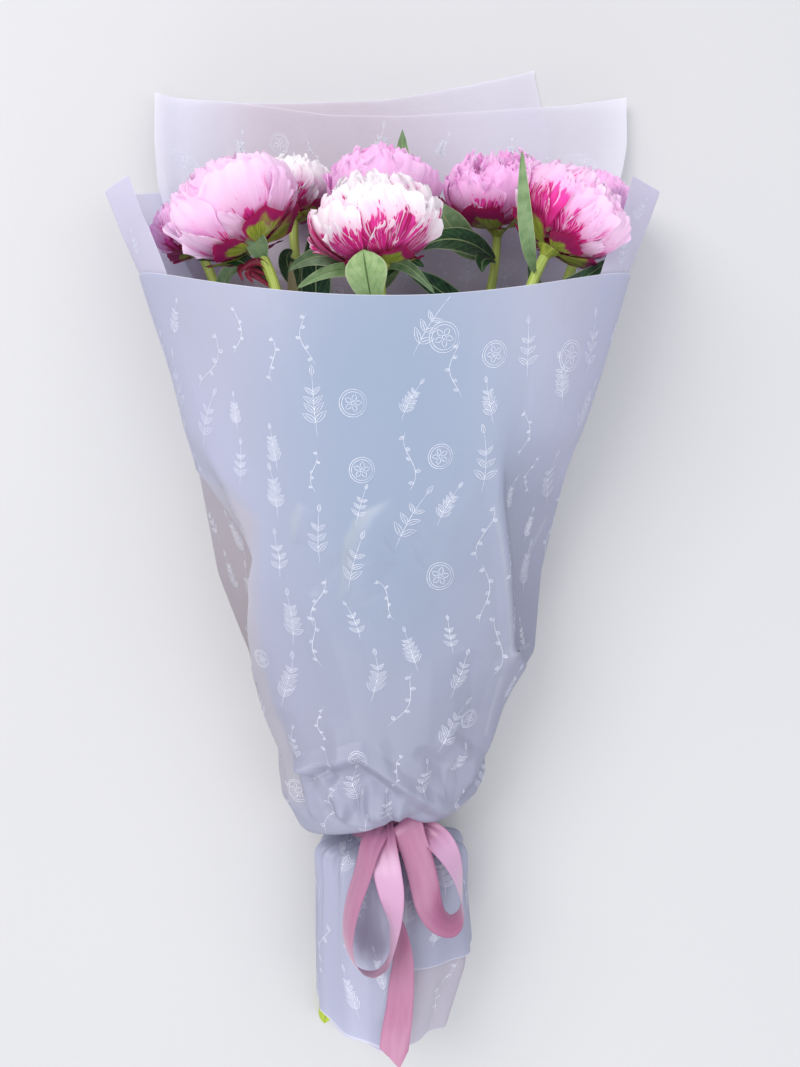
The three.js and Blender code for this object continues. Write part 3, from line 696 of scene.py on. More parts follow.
def film_grid(stations, spans, out, rows, columns, forms=(), first_edge=None):
    """A sheet's points, its outward normals, and the angle of each point."""
    table = np.array([tuple(s) for s in stations], float)
    at = run_length(table[:, :4] * STATION_SHARES)
    places = np.linspace(0, at[-1], rows)
    fields = rounded(at, table, places, FILM_CORNER)
    turns = angle_to_turn(np.array(spans, float))
    first, last = (np.interp(places, at, turn)[:, None] for turn in turns.T)
    share = np.linspace(0, 1, columns)[None, :]
    angle = turn_to_angle(first * (1 - share) + last * share)
    if first_edge is not None:
        angle = narrowed(angle, look_up(first_edge, fields[:, 0]))
    points = facets(envelope(angle, fields), angle, fields)
    y = points[..., 1]
    push = out + waves(angle, y) + pleats(angle, y) + hollows(angle, y)
    push = push + sum(form(points, angle) for form in forms)
    points = points + grid_normals(points) * push[..., None]
    points[..., 2] = np.maximum(points[..., 2], FILM_LOWEST)
    return points, grid_normals(points), angle


def flat_cut(points):
    """A tapered sheet's widest width, longest length and area, in mm, as it would lie flat."""
    widths = np.linalg.norm(np.diff(points, axis=1), axis=-1)
    lengths = np.linalg.norm(np.diff(points, axis=0), axis=-1)
    area = float((widths[:-1] * lengths[:, :-1]).sum())
    width, length = float(widths.sum(axis=1).max()), float(lengths.sum(axis=0).max())
    return width, length, min(area, width * length)


def nearest(points, line):
    """Seen from above: the distance to a line, if it is on its right, and how far along it."""
    line = np.asarray(line, float)
    flat = points[..., :2]
    starts = run_length(line)
    best = np.full(flat.shape[:-1], np.inf)
    right, share = np.zeros_like(best), np.zeros_like(best)
    for k, (a, b) in enumerate(zip(line[:-1], line[1:])):
        along = b - a
        t = np.clip(((flat - a) @ along) / (along @ along), 0, 1)
        off = flat - a - t[..., None] * along
        distance = np.linalg.norm(off, axis=-1)
        nearer = distance < best
        best = np.where(nearer, distance, best)
        right = np.where(nearer, along[0] * off[..., 1] < along[1] * off[..., 0], right)
        run = starts[k] + t * (starts[k + 1] - starts[k])
        share = np.where(nearer, run / starts[-1], share)
    return best, right, share


def tent(points, line, width):
    """1 on a line drawn from above, falling evenly to 0 at width from it."""
    return np.clip(1 - nearest(points, line)[0] / width, 0, 1)


# Folds on the front sheet, drawn from above: places, width and how far they stand out.
FRONT_FOLDS = [
    ([(66, 39), (67, 17), (75, -28), (80, -89)], 9, 2.2),
    ([(80, -89), (98, -87)], 7, 3.0),
    ([(75, -100), (64, -154), (58, -186)], 11, 3.4),
    ([(-60, -36), (-46, -22), (-38, -17)], 8, -2.6),
    ([(-69, -170), (-28, -157), (22, -200)], 9, 8.0),
    ([(-69, -170), (-50, -186), (-44, -204)], 8, 5.0),
    ([(-64, -182), (-30, -172), (-4, -190)], 8, -4.0),
    ([(34, -150), (52, -168), (50, -196)], 9, 4.5),
    ([(16, -160), (30, -172), (34, -196)], 8, -4.0),
    ([(-30, -158), (-36, -110), (-52, -60)], 20, 2.4),
    ([(12, -196), (20, -140), (22, -90)], 22, 2.4),
    ([(40, -180), (52, -130), (50, -96)], 14, -2.8),
    ([(-82, -190), (-86, -140)], 14, -2.6),
    ([(-58, -196), (-40, -176), (-46, -140)], 9, 2.6),
    ([(-14, -206), (-6, -176), (-16, -150)], 8, 2.8),
    ([(30, -206), (34, -176), (46, -160)], 8, 2.4),
    ([(-34, -206), (-26, -188)], 7, -2.4),
    ([(6, -210), (10, -186)], 7, -2.4),
    ([(-20, -60), (4, -20), (40, 10), (60, 60)], 34, 1.8),
    ([(-90, 150), (-70, 90), (-74, 30)], 40, 1.6),
    ([(118, 120), (104, 60), (92, 20)], 26, 1.8),
    ([(-146, 110), (-128, 40)], 26, 1.6),
    ([(20, 150), (34, 96), (26, 50)], 34, -1.4),
]

# Creases that the film climbs from on their right: places, width of the climb and its height.
FRONT_STEPS = [
    ([(-44, -48), (-41, -34), (-41, -16), (-38, -3), (-32, 8), (-24, 16), (-14, 21), (-5, 25)],
     15, 5.5),
    ([(22, -34), (10, -18), (4, -4), (4, 10)], 9, -2.4),
    ([(-76, -6), (-76, 10), (-70, 22)], 9, 2.6),
]
STEP_RUN_OUT = 3.0
STEP_ONSET = 1.7


def climb(points, line, width, height):
    """The film's rise beside a crease: steep next to it, then level, then slowly down again.

    The second result is 1 on its steep side, where it catches the light.
    """
    best, right, share = nearest(points, line)
    full = np.sin(math.pi * share) ** 0.6
    reach = width * (0.3 + 0.7 * full)
    up = 1 - (1 - np.clip(best / reach, 0, 1)) ** 2
    rise = right * height * up * (1 - smooth_step(reach, STEP_RUN_OUT * reach, best))
    onset = smooth_step(-STEP_ONSET, STEP_ONSET, np.where(right > 0, best, -best))
    bright = onset * math.copysign(1, height) * (1 - smooth_step(0.1 * reach, reach, best))
    return rise * full, bright * full


# Creases of the front sheet that catch the light, drawn as thin lines of painted highlight, seen from
# above.
CREASE_HIGHLIGHT_LINES = [
    [(65, 16), (70, 2), (74, -19), (79, -50), (82, -88), (101, -87)],
    [(113, 12), (103, -6), (97, -17), (91, -30)],
    [(74, -106), (70, -124), (65, -152)],
]
CREASE_HIGHLIGHT_WIDTH = 2.3
CREASE_HIGHLIGHT_SHARE = 0.7
# The left side's warm band lies beyond this angle, for heights up the bunch.
WARM_BAND = [(-190, -48), (-140, -51), (-98, -55), (-44, -44), (8, -38), (40, -50)]


def front_folds(points, angle):
    total = sum(climb(points, *step)[0] for step in FRONT_STEPS)
    for line, width, height in FRONT_FOLDS:
        total = total + height * tent(points, line, width)
    facing = smooth_step(0.0, 0.3, np.cos(np.radians(angle)))
    above_tie = smooth_step(-222, -206, points[..., 1])
    return total * facing * above_tie


def skirt_folds(points, angle):
    """The skirt falls in a few broad folds below the ribbon."""
    a = np.radians(angle)
    below = smooth_step(-258, -300, points[..., 1])
    facing = smooth_step(-0.35, 0.25, np.cos(a))
    fold = 1.8 * np.sin(6 * a + 0.8) + 1.1 * np.sin(11 * a + 2)
    return below * facing * (fold - 0.8)


# How far the back sheets' top edges stand above or below a straight line.
FAR_TOP_EDGE = [(-230, 8), (-95, 7), (-17, 9.6), (12, 13.6), (40, 19), (75, 25.4), (98, 28),
                (110, 30.2), (131, 35.5)]
NEAR_TOP_EDGE = [(-208, 8), (-150, 8), (-60, -4), (3, -5), (80, 0), (200, 8)]
CORNER_PULL = 14.0


def top_edge(points, start, edge):
    """Moves a sheet's top edge to its curve, from a height up the bunch."""
    share = smooth_step(start, 366, points[..., 1])
    points[..., 1] += share * look_up(edge, points[..., 0])
    return share


def pull_corner(points, share):
    """The far sheet is turned a little, so that its right corner leans in."""
    points[..., 0] -= CORNER_PULL * share * smooth_step(60, 110, points[..., 0])


def left_curl(points, angle):
    """The near back sheet's left band rolls inwards."""
    return -5.0 * smooth_step(222, 234, angle) ** 2 * smooth_step(180, 240, points[..., 1])


def overlap_tuck(points, angle):
    """The side sheet's first stretch lies inside its last one where they overlap in the skirt."""
    return -3.0 * (1 - smooth_step(4, 24, angle))


LEFT_HEM_STRETCH = 2.3
HEM_DROP = 9.0
HEM_CORNER_RISE = 7.0


def left_hem(points):
    """The front sheet's left side runs on down to the end of the skirt."""
    left = 1 - smooth_step(-14, 6, points[..., 0])
    below = np.minimum(0, points[..., 1] - HEM_START)
    points[..., 1] += below * (LEFT_HEM_STRETCH - 1) * left


def hem_round(points):
    """The skirt's end is rounded: it reaches furthest down in the middle."""
    x, y = points[..., 0], points[..., 1]
    middle = HEM_DROP * np.exp(-((x + 12) / 26) ** 2)
    corner = HEM_CORNER_RISE * smooth_step(-40, -62, x)
    points[..., 1] += smooth_step(-318, -388, y) * (corner - middle)


# The front sheet's free left edge, as an angle of the envelope for heights up the bunch.
FREE_EDGE = [(-125, -128), (-112, -80), (-98, -67), (-44, -50), (-11, -43), (8, -46), (40, -72),
             (72, -128)]


def free_edge_flare(points, angle):
    """The free left edge stands off the sheet below it a little."""
    y = points[..., 1]
    high = smooth_step(-128, -100, y) * (1 - smooth_step(30, 60, y))
    return 1.6 * high * (1 - smooth_step(0, 14, angle - look_up(FREE_EDGE, y)))


# The print: white sprigs and rings, drawn flat on the sheet and carried to its surface.

MOTIF_SIZES = (22, 42)
RING_SIZES = (14, 21)
RING_STEPS = 37
MOTIF_COLUMN_STEP = 29
MOTIF_ROW_STEP = 44
INK_LINE = 0.42
INK_RISE = 0.25
INK_MARGIN = 2.0


def stroke_strip(line, width):
    """Both edges of a drawn line that is widest in its middle."""
    along = unit(np.gradient(line, axis=0))
    side = np.stack([-along[:, 1], along[:, 0]], axis=1)
    taper = 0.35 + 0.65 * np.sin(np.linspace(0.12, math.pi - 0.12, len(line)))[:, None]
    return line - side * taper * width / 2, line + side * taper * width / 2


def direction(heading):
    return np.array([math.cos(heading), math.sin(heading)])


def leaf_outline(start, heading, length, width, bend=0.0):
    """Both edges and the rib of one drawn leaf."""
    t = np.linspace(0, 1, 9)
    ahead = direction(heading)
    beside = np.array([-ahead[1], ahead[0]])
    rib = start + np.outer(t * length, ahead) + np.outer(bend * length * t ** 2, beside)
    swell = (width / 2 * np.sin(math.pi * t ** 0.8))[:, None] * beside
    return [rib + swell, rib - swell, rib[:7]]


def sprig(rng, size):
    """A bent twig with drawn leaves in pairs and a leaf at its tip."""
    t = np.linspace(0, 1, 12)
    bend = rng.uniform(-0.25, 0.25)
    twig = np.stack([bend * size * t ** 2, size * t], axis=1)
    lines = [twig]
    pairs = int(rng.integers(3, 6))
    for k in range(pairs):
        at = 0.22 + 0.62 * k / pairs
        foot = np.array([np.interp(at, t, twig[:, 0]), size * at])
        for side in (-1, 1):
            turn = math.pi / 2 - 2 * bend * at + side * rng.uniform(0.6, 0.85)
            long = size * (0.32 - 0.2 * at)
            lines += leaf_outline(foot, turn, long, long * 0.36, 0.15 * side)
    return lines + leaf_outline(twig[-1], math.pi / 2 - 2 * bend, size * 0.16, size * 0.07)


def ring_motif(rng, size):
    """Two thin rings with a small five-petalled flower inside."""
    circle = np.array([direction(t) for t in full_turn(RING_STEPS)])
    lines = [circle * size / 2, circle * size * 0.41, circle * size * 0.06]
    start = rng.uniform(0, 1)
    for k in range(5):
        heading = start + 2 * math.pi * k / 5
        foot = direction(heading) * size * 0.08
        lines += leaf_outline(foot, heading, size * 0.26, size * 0.16)[:2]
    return lines


def buds(rng, size):
    """A line of small buds on a thin tendril."""
    t = np.linspace(0, 1, 16)
    tendril = np.stack([0.12 * size * np.sin(5 * t + rng.uniform(0, 6)), size * t], axis=1)
    lines = [tendril]
    for k in range(2, 15, 3):
        heading = rng.uniform(-0.5, 0.6) + (0 if k % 2 else math.pi)
        lines += leaf_outline(tendril[k], heading, size * 0.1, size * 0.05)
    return lines


def motif(rng):
    """The lines of one motif, its kind, size and slant drawn at random."""
    kind = rng.uniform()
    size = rng.uniform(*MOTIF_SIZES)
    across = direction(rng.normal(0, 0.22))
    if kind < 0.5:
        lines = sprig(rng, size)
    elif kind < 0.82:
        lines = buds(rng, size * 1.1)
    else:
        lines = ring_motif(rng, rng.uniform(*RING_SIZES))
    rotation = np.array([across, (-across[1], across[0])])
    return [line @ rotation for line in lines]


def drawn_print(name, points, normals, seed, material, slot, lowest):
    """Spreads motifs over a sheet in a loose half-drop layout, none of it below lowest."""
    rng = np.random.default_rng(seed)
    columns = np.arange(points.shape[1])
    across = np.array([run_length(row) for row in points])
    across -= across[:, len(columns) // 2, None]
    down = run_length(points[:, len(columns) // 2])

    def carry(flat):
        """Flat drawing places (mm) to the surface, or None if any falls off the sheet."""
        row = np.interp(-flat[:, 1], down, np.arange(len(points)))
        low = np.clip(row.astype(int), 0, len(points) - 2)
        result = np.zeros((len(flat), 3))
        for k, ((x, y), i, part) in enumerate(zip(flat, low, row - low)):
            edges = across[i] * (1 - part) + across[i + 1] * part
            on_length = INK_MARGIN < -y < down[-1] - INK_MARGIN
            if not (on_length and edges[0] + INK_MARGIN < x < edges[-1] - INK_MARGIN):
                return None
            column = np.interp(x, edges, columns)
            j = min(int(column), len(columns) - 2)
            a, b = points[i:i + 2, j] + (points[i:i + 2, j + 1] - points[i:i + 2, j]) * (column - j)
            result[k] = a * (1 - part) + b * part + normals[i, j] * INK_RISE
        return result if result[:, 2].min() > lowest else None

    parts = Parts()
    widest = float(np.max(across[:, -1]))
    for number, x in enumerate(np.arange(-widest, widest, MOTIF_COLUMN_STEP)):
        drop = MOTIF_ROW_STEP / 2 if number % 2 else 0
        for y in np.arange(MOTIF_ROW_STEP / 2, down[-1], MOTIF_ROW_STEP):
            place = np.array([x + rng.uniform(-6, 6), -(y + drop + rng.uniform(-8, 8))])
            for k, line in enumerate(motif(rng)):
                edges = [carry(edge) for edge in stroke_strip(line + place, INK_LINE)]
                if edges[0] is not None and edges[1] is not None:
                    parts.add_grid(np.stack(edges, axis=1))
                elif k == 0:
                    break
    return parts.mesh(name, material, slot)


# Sheets of film. Their numbers say, for each point, how far its colour leans to mauve (tint),
# how much painted shade it has (shade), how much painted highlight it has along creases (pale)
# and how warm its tone is.

def back_numbers(points, angle):
    x, y = points[..., 0], points[..., 1]
    tint = np.maximum(smooth_step(110, 190, np.abs(x)), 0.8 * smooth_step(-60, 90, x))
    return dict(tint=tint, shade=1.25 * smooth_step(236, 176, y), pale=0.0, warm=0.0)


def wrap_numbers(points, angle):
    x, y = points[..., 0], points[..., 1]
    tint = 0.1 + 0.9 * smooth_step(0.35, 1.5, np.hypot(x / 90, (y - 60) / 190))
    shade = 0.48 * smooth_step(60, -170, y)
    shade = shade - smooth_step(-236, -262, y) * (0.1 + 0.3 * smooth_step(10, -30, x))
    shade = shade + 0.25 * smooth_step(-40, 90, x) * smooth_step(140, -60, y)
    right_facet = smooth_step(-2, 4, signed(angle) - look_up(RIGHT_CREASE, y))
    left_facet = smooth_step(-2, 4, look_up(LEFT_CREASE, y) - signed(angle))
    low_part = smooth_step(60, 24, y) * smooth_step(-215, -190, y)
    shade = shade + low_part * (0.34 * right_facet + 0.25 * left_facet)
    return dict(tint=tint, shade=shade, pale=0.0, warm=0.0)


def side_numbers(points, angle):
    x, y = points[..., 0], points[..., 1]
    numbers = wrap_numbers(points, angle)
    low_left = smooth_step(90, 40, y) * smooth_step(-240, -215, y) * smooth_step(-60, -90, x)
    numbers["shade"] = numbers["shade"] + 0.5 * low_left
    return numbers


def front_numbers(points, angle):
    y = points[..., 1]
    numbers = wrap_numbers(points, angle)
    # A painted highlight along the creases and on the lit sides of the climbs.
    for line in CREASE_HIGHLIGHT_LINES:
        numbers["pale"] = numbers["pale"] + CREASE_HIGHLIGHT_SHARE * tent(points, line, CREASE_HIGHLIGHT_WIDTH)
    for step in FRONT_STEPS:
        numbers["pale"] = numbers["pale"] + climb(points, *step)[1]
    beyond = smooth_step(-4, 6, look_up(WARM_BAND, y) - angle)
    numbers["warm"] = beyond * smooth_step(56, 8, y) * smooth_step(-214, -196, y)
    return numbers


def add_sheet(name, slot, grid, look, ink, numbers, seed):
    """One sheet of film with its print, with its width and length as cut flat."""
    points, normals, angle = grid
    width, length, area = flat_cut(points)
    parts = Parts()
    parts.add_grid(points, **numbers(points, angle), width=width, length=length)
    sheet = parts.mesh(name + "_sheet", look, slot)
    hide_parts(name)
    outward = -normals if slot == "film_back" else normals
    lowest = PRINT_LOWEST.get(slot, -math.inf)
    drawn = drawn_print(name + "_print", points, outward, seed, ink, slot, lowest)


def span_rows(*groups):
    return [span for count, span in groups for _ in range(count)]


def over(station, y):
    """A station of the side sheet's skirt, eased to lie over it."""
    return station._replace(y=y, left=station.left - SKIRT_EASE,
                            right=station.right + SKIRT_EASE, top=station.top + SKIRT_EASE)


FAR_GRID = (170, 60)
NEAR_GRID = (170, 90)
SIDE_GRID = (210, 210)
FRONT_GRID = (340, 285)
PRINT_SEED = 11
# How low a print may come, where that is limited.
PRINT_LOWEST = {"film_side": 2.0}


def build_film():
    looks = {slot: film_material(slot, *look) for slot, look in FILM_LOOKS.items()}
    ink = print_material()

    back = [*CONE_TOP, *CONE_WINGS, *CONE_BODY, *GATHER]
    far = film_grid(back, [(153, 232)] * len(back), FAR_SHEET_OUT, *FAR_GRID)
    pull_corner(far[0], top_edge(far[0], 330, FAR_TOP_EDGE))
    spans = span_rows((2, (128, 235)), (2, (119, 237)), (len(back) - 4, (128, 232)))
    near = film_grid(back, spans, NEAR_SHEET_OUT, *NEAR_GRID, [left_curl])
    top_edge(near[0], 300, NEAR_TOP_EDGE)

    above = [*CONE_WINGS, *CONE_BODY, *GATHER]
    spans = span_rows((1, (60, 300)), (1, (59, 301)), (2, (56, 304)), (4, (56, 326)),
                      (len(above) - 8, (56, 304)), (1, (10, 356)), (3, (-14, 368)))
    wrap = film_grid([*above, *SKIRT], spans, SIDE_SHEET_OUT, *SIDE_GRID,
                     [skirt_folds, overlap_tuck])
    hem_round(wrap[0])

    front = [*CONE_BODY, *PUFF, over(SKIRT[0], SKIRT[0].y), over(SKIRT[1], HEM_START),
             over(SKIRT[2], FRONT_HEM_END)]
    face = film_grid(front, [(-128, 128)] * len(front), FRONT_SHEET_OUT, *FRONT_GRID,
                     [front_folds, skirt_folds, free_edge_flare], FREE_EDGE)
    left_hem(face[0])
    hem_round(face[0])

    sheets = [
        ("film_back_far", "film_back", far, back_numbers),
        ("film_back_near", "film_back", near, back_numbers),
        ("film_side_wrap", "film_side", wrap, side_numbers),
        ("film_front", "film_front", face, front_numbers),
    ]
    for number, (name, slot, grid, numbers) in enumerate(sheets):
        add_sheet(name, slot, grid, looks[slot], ink, numbers, PRINT_SEED + number)


# The ribbon: each strip point is x, y, z and the roll of its width out of the horizontal.

RIBBON_WIDTH = 22.0
RIBBON_CLEARANCE = 1.1
RIBBON_COLUMNS = 17
BAND_STEPS = 96
LEFT_LOOP = [
    (-12, -220, 78, 10), (-18, -227, 88, 34), (-23, -237, 95, 48), (-28, -254, 100, 56),
    (-34, -271, 103, 60), (-38, -289, 104, 63), (-38.3, -304, 104.5, 67), (-34.5, -316, 105, 69),
    (-27, -323.5, 105.5, 71), (-18, -324, 106, 75), (-10, -316, 107, 86), (-6.8, -304, 110, 97),
    (-5, -290, 113, 108), (-5, -277, 114, 128), (-6.5, -262, 112, 154), (-9.5, -248, 107, 168),
    (-12, -234, 97, 166), (-12, -222, 82, 156),
]
RIGHT_LOOP = [
    (-4, -219, 74, -4), (-1, -215.5, 80, -5), (3.5, -216.5, 86.5, -6), (6.5, -222, 90.5, -6),
    (8.7, -230, 93, -7), (12.4, -240, 95, -9), (16, -252, 97, -12), (18.8, -264, 99, -16),
    (21, -274, 100, -26), (25, -283, 101, -42), (31, -289, 101.5, -58), (38.5, -291, 101.5, -72),
    (44.5, -286, 101, -83), (46.6, -275, 100.5, -92), (45, -263, 100, -102), (42, -251, 98, -116),
    (36.5, -240, 95, -132), (28, -231, 90, -146), (14, -225, 82, -150),
]
RIBBON_TAIL = [
    (-4, -226, 79, 4), (-8.5, -237, 88, 36), (-10.5, -249, 96, 54), (-8.5, -264, 101, 62),
    (-4, -280, 102, 64), (0.5, -295, 102, 58), (2.6, -311, 101.5, 50), (2.2, -326, 100.5, 42),
    (1.1, -338, 99.5, 34), (-1.1, -361.5, 97.5, 24), (-3.5, -378, 95.5, 9), (-4.5, -388, 94.5, 2),
]
# Each strip's points, its number of rows, and how far it is gathered at its start and end.
RIBBON_STRIPS = [(LEFT_LOOP, 110, 1, 1), (RIGHT_LOOP, 100, 0.35, 1), (RIBBON_TAIL, 84, 1, 0)]
# The tail's cut end: places across it and how far each runs on past the end.
TAIL_CUT = [(-1, -1.5), (-0.5, 14), (0.25, 6), (1, 0)]
RIBBON_KNOT = np.array([TIE_X, -222.5, 72.5])
KNOT_TURN = 28.0
KNOT_STEPS = 57
KNOT_LENGTH = 40.0
KNOT_HALF = (8.2, 6.6, 6.4)
KNOT_RISE = 1.5
KNOT_BELOW = 0.75


def ribbon_places(u, v):
    return stack(u / 2 + 0.5, v)


def add_strip(parts, stations, count, pinch_start, pinch_end):
    """A strip along its stations, gathered in where it enters the knot. Returns its length."""
    line = catmull(stations, count)
    centre, roll = line[:, :3], np.radians(line[:, 3:])
    tangent = unit(np.gradient(centre, axis=0))
    level = unit(np.cross(tangent, np.array([0.0, 0.0, 1.0])))
    across = level * np.cos(roll) + np.cross(tangent, level) * np.sin(roll)
    face = unit(np.cross(across, tangent))
    u, share = span_grid(count, RIBBON_COLUMNS)
    pinch = pinch_start * np.exp(-share / 0.04) + pinch_end * np.exp(-(1 - share) / 0.05)
    half = RIBBON_WIDTH / 2 * (1 - 0.42 * pinch)
    folds = 1.5 * pinch * np.cos(3 * math.pi * u)
    bow = 0.6 * (1 - u ** 2) * (1 + 0.8 * np.sin(7 * share))
    points = centre[:, None] + across[:, None] * (half * u)[..., None]
    points = points + face[:, None] * (folds + bow)[..., None]
    if stations is RIBBON_TAIL:
        run_on = np.clip((share - 0.86) / 0.14, 0, 1) * look_up(TAIL_CUT, u)
        points = points + tangent[:, None] * run_on[..., None]
    length = run_length(centre)[-1]
    # Painted highlight where the strip is rolled over far enough to show its other face, fading before
    # its end.
    inner = smooth_step(84, 112, np.abs(line[:, 3:])) * smooth_step(0.97, 0.84, share)
    parts.add_grid(points, places=ribbon_places(u, share * length), inner=inner)
    return length


def add_band(parts):
    """The ribbon round the gathered film in the tie. Returns its length."""
    row = np.array([tuple(tie_at(TIE_Y, 0))], float)
    turns = np.linspace(0, 4, BAND_STEPS, endpoint=False)
    ring = envelope(turn_to_angle(turns)[None, :], row)[0]
    around = np.roll(ring, -1, axis=0) - np.roll(ring, 1, axis=0)
    side = unit(np.stack([-around[:, 2], np.zeros(BAND_STEPS), around[:, 0]], axis=1))
    out = FRONT_SHEET_OUT + TIE_EASE + RIBBON_CLEARANCE
    ring = ring + side * math.copysign(out, side[0, 2])
    u = np.linspace(-1, 1, RIBBON_COLUMNS)[:, None]
    crease = 0.35 * np.cos(2.5 * math.pi * u) * np.sin(np.linspace(0, 40, BAND_STEPS))
    band = ring + unit(ring - ring.mean(axis=0)) * (crease[..., None] + 0.3)
    band[..., 1] = TIE_Y + u * RIBBON_WIDTH / 2
    length = np.linalg.norm(ring - np.roll(ring, 1, axis=0), axis=1).sum()
    places = ribbon_places(u, np.linspace(0, length, BAND_STEPS))
    parts.add_grid(band, wrap=True, places=places, inner=0.0)
    return length


def add_knot(parts):
    """The ribbon's last pass over the knot: a pleated band round its middle, a little turned."""
    t = full_turn(KNOT_STEPS)
    u = np.linspace(-1, 1, RIBBON_COLUMNS)[:, None]
    swell = 1 - 0.14 * u ** 2 + 0.07 * np.cos(4 * math.pi * u) + 0.04 * np.sin(3 * t + 5 * u)
    x, y = KNOT_HALF[0] * u, KNOT_HALF[1] * swell * np.cos(t)
    z = KNOT_RISE + KNOT_HALF[2] * swell * np.sin(t) * np.where(np.sin(t) > 0, 1, KNOT_BELOW)
    c, s = direction(math.radians(KNOT_TURN))
    places = ribbon_places(u, np.linspace(0, KNOT_LENGTH, KNOT_STEPS))
    parts.add_grid(stack(x * c - y * s, x * s + y * c, z) + RIBBON_KNOT, places=places, inner=0.0)
    return KNOT_LENGTH


def build_ribbon():
    parts = Parts()
    length = add_band(parts)
    for strip in RIBBON_STRIPS:
        length += add_strip(parts, *strip)
    length += add_knot(parts)
    ribbon = parts.mesh("ribbon_bow_satin", ribbon_material(), "ribbon_satin")
    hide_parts("ribbon_bow")


# Flowers: middle of the bloom, the way it faces, its radius, its stem's place in the tie, its
# turn round its axis, how strong its flames are, how large its sepals, how smooth its outer
# petals, and its leaves.
# A leaf grows from a height on the stem (y) over its bend to its tip; face is the way its
# upper side looks, peak how far up it is widest. Tones: -0.1 lime, 0 pale, 0.3 grey green,
# 1 dark, 2 dark red, -1 beige.

Flower = namedtuple("Flower", "name colour centre faces radius slot spin flames sepals smooth leaves")
Leaf = namedtuple("Leaf", "y bend tip width face tone peak curl", defaults=(0.44, 0.24))
FLOWERS = [
    Flower("peony_1", "pink", (-170, 247, 53), (-0.42, 0.88, 0.08), 30, (-1, -1), 10, 0.8, 1.2, 0.5, [
        Leaf(190, (-138, 214, 66), (-116, 208, 70), 13, (0, 0.3, 1), 0.3),
        Leaf(-330, (-62, -388, 16), (-65, -420, 9), 15, (0, 0, 1), -0.1, 0.7)]),
    Flower("peony_2", "pale", (-119, 234, 122), (-0.5, 0.85, 0.06), 46, (-1, 1), 35, 0.6, 1.1, 0.6, [
        Leaf(120, (-104, 138, 122), (-124, 158, 128), 16, (0, 0, 1), 0.7),
        Leaf(176, (-116, 208, 118), (-150, 202, 104), 13, (0, 0.2, 1), 1.0, 0.6, 0.6),
        Leaf(180, (-98, 206, 124), (-116, 186, 122), 4, (0.2, -0.3, 1), 2.0, 0.5, 0.9),
        Leaf(176, (-118, 196, 122), (-104, 178, 126), 3.4, (-0.4, 0, 1), 2.0, 0.5, 0.8),
        Leaf(184, (-124, 200, 120), (-112, 180, 124), 3, (0.4, 0, 1), 1.8, 0.5, 0.9),
        Leaf(196, (-101, 202, 132), (-106, 219, 136), 14, (0.1, -0.3, 1), 0.2, 0.5, 0.1)]),
    Flower("peony_3", "white", (-86, 284, 41), (0.04, 1, 0.02), 32, (-0.5, 0), 50, 0.85, 1.0, 0.9, [
        Leaf(196, (-98, 222, 60), (-84, 222, 66), 15, (0.3, 0, 1), 0.8),
        Leaf(150, (-76, 186, 74), (-72, 216, 84), 12, (0.2, 0, 1), 0.5),
        Leaf(140, (-66, 190, 80), (-62, 240, 92), 22, (0.2, 0, 1), 1.1, 0.55),
        Leaf(140, (-86, 176, 86), (-80, 200, 108), 9, (0.5, 0, 1), -1.0)]),
    Flower("peony_4", "pink", (-14, 269, 74), (0.02, 1, 0.1), 42, (0, -1), 5, 0.55, 1.0, 0.1, [
        Leaf(190, (2, 262, 2), (2, 334, 34), 30, (0, 0, 1), 0.3)]),
    Flower("peony_5", "white", (-18, 218, 138), (-0.1, 0.98, 0.1), 44, (0, 1), 20, 1.3, 0.9, 0.1, [
        Leaf(126, (-20, 156, 158), (-24.6, 189, 163), 27, (0, -0.2, 1), 0.0, 0.8, 0.12),
        Leaf(180, (-44, 190, 146), (-70, 167, 150), 8, (0, -0.5, 1), 0.12),
        Leaf(178, (-54, 214, 118), (-81, 189, 118), 13, (0, -0.2, 1), 0.6),
        Leaf(186, (-2, 200, 140), (24, 166, 142), 8, (0, -0.3, 1), 0.6),
        Leaf(176, (0, 204, 128), (17, 188, 130), 10, (-0.2, 0, 1), 1.0)]),
    Flower("peony_6", "pink", (77, 273, 62), (-0.04, 0.92, 0.36), 42, (0.5, 0), 28, 0.75, 1.7, 0.4, [
        Leaf(222, (40, 222, 126), (11, 203, 120), 16, (0, -0.3, 1), 0.9),
        Leaf(222, (43, 214, 92), (27, 243, 110), 23, (0.3, -0.2, 1), 0.28, 0.62),
        Leaf(170, (28, 186, 96), (4, 196, 100), 16, (0, 0, 1), 1.0),
        Leaf(222, (60, 214, 84), (63, 199, 86), 13, (0, 0, 1), 1.0)]),
    Flower("peony_7", "pale", (121, 228, 128), (0.5, 0.84, 0.12), 41, (1, 1), 44, 1.1, 1.15, 0.45, [
        Leaf(186, (81, 190, 166), (80, 251, 172), 9, (0, -0.2, 1), 0.2, 0.5),
        Leaf(164, (120, 172, 118), (154, 200, 118), 13, (0, 0, 1), 0.9)]),
    Flower("peony_8", "pink", (156, 268, 51), (0.3, 0.94, 0.06), 31, (1, -1), 15, 0.45, 1.0, 0.5, [
        Leaf(150, (116, 196, 40), (106, 222, 34), 14, (0, 0, 1), 0.8)]),
]
BLOOM_HEIGHT_RATIO = 1.34

